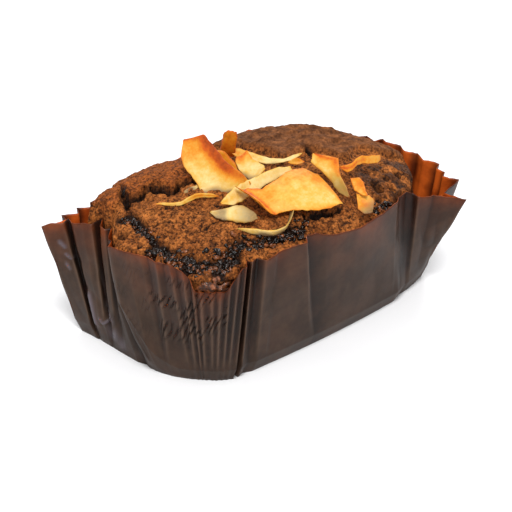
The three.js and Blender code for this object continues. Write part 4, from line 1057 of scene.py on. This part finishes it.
for number, (at, turned, span, *edges, (bend, curl, twist), toasting_at) in enumerate(CHIPS, 1):
    # The flat outline, with ragged edges and ends.
    long = span[1] - span[0]
    wide = max(edges[0]) - min(edges[1])
    cells_u, cells_v = max(int(long * CHIP_CELLS), 16), max(int(wide * CHIP_CELLS), 8)
    s, v = np.meshgrid(np.linspace(0, 1, cells_u + 1), np.linspace(-1, 1, cells_v + 1), indexing="ij")
    top, bottom = [
        np.interp(s, np.linspace(0, 1, len(edge)), edge)
        + 0.16 * min(1, wide / 4) * lumps(s * long, 0 * s, 1.1, seed + number)
        for edge, seed in zip(edges, (60, 80))
    ]
    torn = 0.3 * lumps(v * wide / 2, np.sign(s - 0.5), 1.3, 90 + number)
    along = span[0] + long * s + torn * np.abs(2 * s - 1) ** 6
    across = (top + bottom) / 2 + (top - bottom) / 2 * v

    # Bent, curled, waved and twisted, and thinner towards its edges.
    u = along / (long / 2)
    wave = 0.4 * lumps(along, across, 4, 100 + number) + 0.1 * lumps(along, across, 1.3, 120 + number)
    rise = bend * (u * u - 0.4) + curl * ((2 * across / wide) ** 2 - 0.4) + wave * min(1, wide / 5)
    lip = 0
    if number == LIP_CHIP:
        from_lip = (along - LIP_FROM[0]) * LIP_WAY[0] + (across - LIP_FROM[1]) * LIP_WAY[1]
        from_lip /= math.hypot(*LIP_WAY)
        rise += LIP_WIDE * np.maximum(1 - from_lip / LIP_WIDE, 0) ** 1.5
        lip = bump(from_lip - 1.9, 0.45)
    angle = np.radians(twist * u / 2)
    thin = CHIP_THICK * (1 - 0.6 * np.maximum(np.abs(2 * s - 1), np.abs(v)) ** 6)
    layers = []
    for side in (1, -1):
        lift = rise + side * thin / 2
        layers.append(np.stack([along, across * np.cos(angle) - lift * np.sin(angle),
                                across * np.sin(angle) + lift * np.cos(angle)], -1))
    place = Matrix.Translation(at)
    for degrees, axis in ((turned[0], "Z"), (-turned[1], "Y"), (turned[2], "X")):
        place = place @ Matrix.Rotation(math.radians(degrees), 4, axis)
    local = np.concatenate([layer.reshape(-1, 3) for layer in layers])
    matrix = np.array(place)
    points = local @ matrix[:3, :3].T + matrix[:3, 3]
    cells = np.arange(u.size).reshape(u.shape)
    upper = np.stack([cells[:-1, :-1], cells[1:, :-1], cells[1:, 1:], cells[:-1, 1:]], -1).reshape(-1, 4)
    rim = np.concatenate([cells[:-1, 0], cells[-1, :-1], cells[:0:-1, -1], cells[0, :0:-1]])
    wall = np.stack([rim, rim + u.size, np.roll(rim, -1) + u.size, np.roll(rim, -1)], -1)
    faces = [*upper, *(upper[:, ::-1] + u.size), *wall]

    # Toasted most at its peak, its edges and the lip, and soaked where it lies in the crust.
    base_toast, peak, peak_u, peak_v, end_toast = toasting_at
    edge_toast = 0.2 * np.maximum(np.abs(2 * s - 1) ** 10, np.abs(v) ** 8)
    toast = base_toast + edge_toast + peak * bump(2 * s - 1 - peak_u, 0.8) * bump(v - peak_v, 0.45)
    toast += end_toast * (1 - ramp(s, 0.1, 0.55)) + 0.3 * lip
    x, y, z = points.T
    above = z - crust_dome(x, y) + 0.6 * lumps(x, y, 2.4, 140) + DRY_LIFT * (number == DRY_CHIP)
    sunk = 1 - ramp(above, 0.2, 1.6)
    sunk = np.maximum(sunk, SOAKED_ENDS.get(number, 0) * np.tile(ramp(s, 0.35, 0.95).ravel(), 2))
    add_piece(f"toasted_chip_{number:02d}", points, faces, coconut, "toasted_coconut",
              [f"coconut_chip_{number:02d}"], toast=np.tile(toast.ravel(), 2), soaked=sunk)


# The table, light and camera --------------------------------------------------------------
# A plain white table in soft studio light, seen from the loaf's near front corner.

floor_mesh = bpy.data.meshes.new("table_top")
floor_mesh.from_pydata([(-3, -3, 0), (3, -3, 0), (3, 3, 0), (-3, 3, 0)], [], [(0, 1, 2, 3)])
white, tree = new_material("white_table")
cloudy = use_effect(tree, patches, {"Size": 60.0, "Detail": 2.0})["Mask"]
shade = blend_colours(tree, cloudy, (0.86, 0.86, 0.87), (0.88, 0.88, 0.89))
surface = node(tree, "ShaderNodeBsdfPrincipled", {
    "Base Color": shade, "Roughness": 0.6, "Specular IOR Level": 0.2,
})
node(tree, "ShaderNodeOutputMaterial", {"Surface": surface.outputs[0]})
floor_mesh.materials.append(white)
floor = bpy.data.objects.new("table_top", floor_mesh)
bpy.context.collection.objects.link(floor)

world = bpy.data.worlds.new("studio")
bpy.context.scene.world = world
world.use_nodes = True
world.node_tree.nodes["Background"].inputs["Color"].default_value = (1, 1, 1, 1)
world.node_tree.nodes["Background"].inputs["Strength"].default_value = 0.7

AIM = Vector((-0.0043, -0.002, 0.018))


def add_light(name, at, size, watts):
    light = bpy.data.lights.new(name, "AREA")
    light.size, light.energy = size, watts
    lamp = bpy.data.objects.new(name, light)
    lamp.location = at
    lamp.rotation_euler = (AIM - lamp.location).to_track_quat("-Z", "Y").to_euler()
    bpy.context.collection.objects.link(lamp)


add_light("key", (-0.35, -0.35, 0.75), 0.3, 7)
add_light("fill", (0.55, 0.35, 0.6), 0.4, 2.5)

TURN, TILT, AWAY = math.radians(-47), math.radians(28), 0.45
back = Vector((math.sin(TURN) * math.cos(TILT), -math.cos(TURN) * math.cos(TILT), math.sin(TILT)))
camera = bpy.data.objects.new("camera", bpy.data.cameras.new("camera"))
camera.data.sensor_width = 36
camera.data.lens = 36 * 1700 / 512
camera.location = AIM + back * AWAY
camera.rotation_euler = (-back).to_track_quat("-Z", "Y").to_euler()
bpy.context.collection.objects.link(camera)
bpy.context.scene.camera = camera
bpy.context.scene.view_settings.view_transform = "Standard"
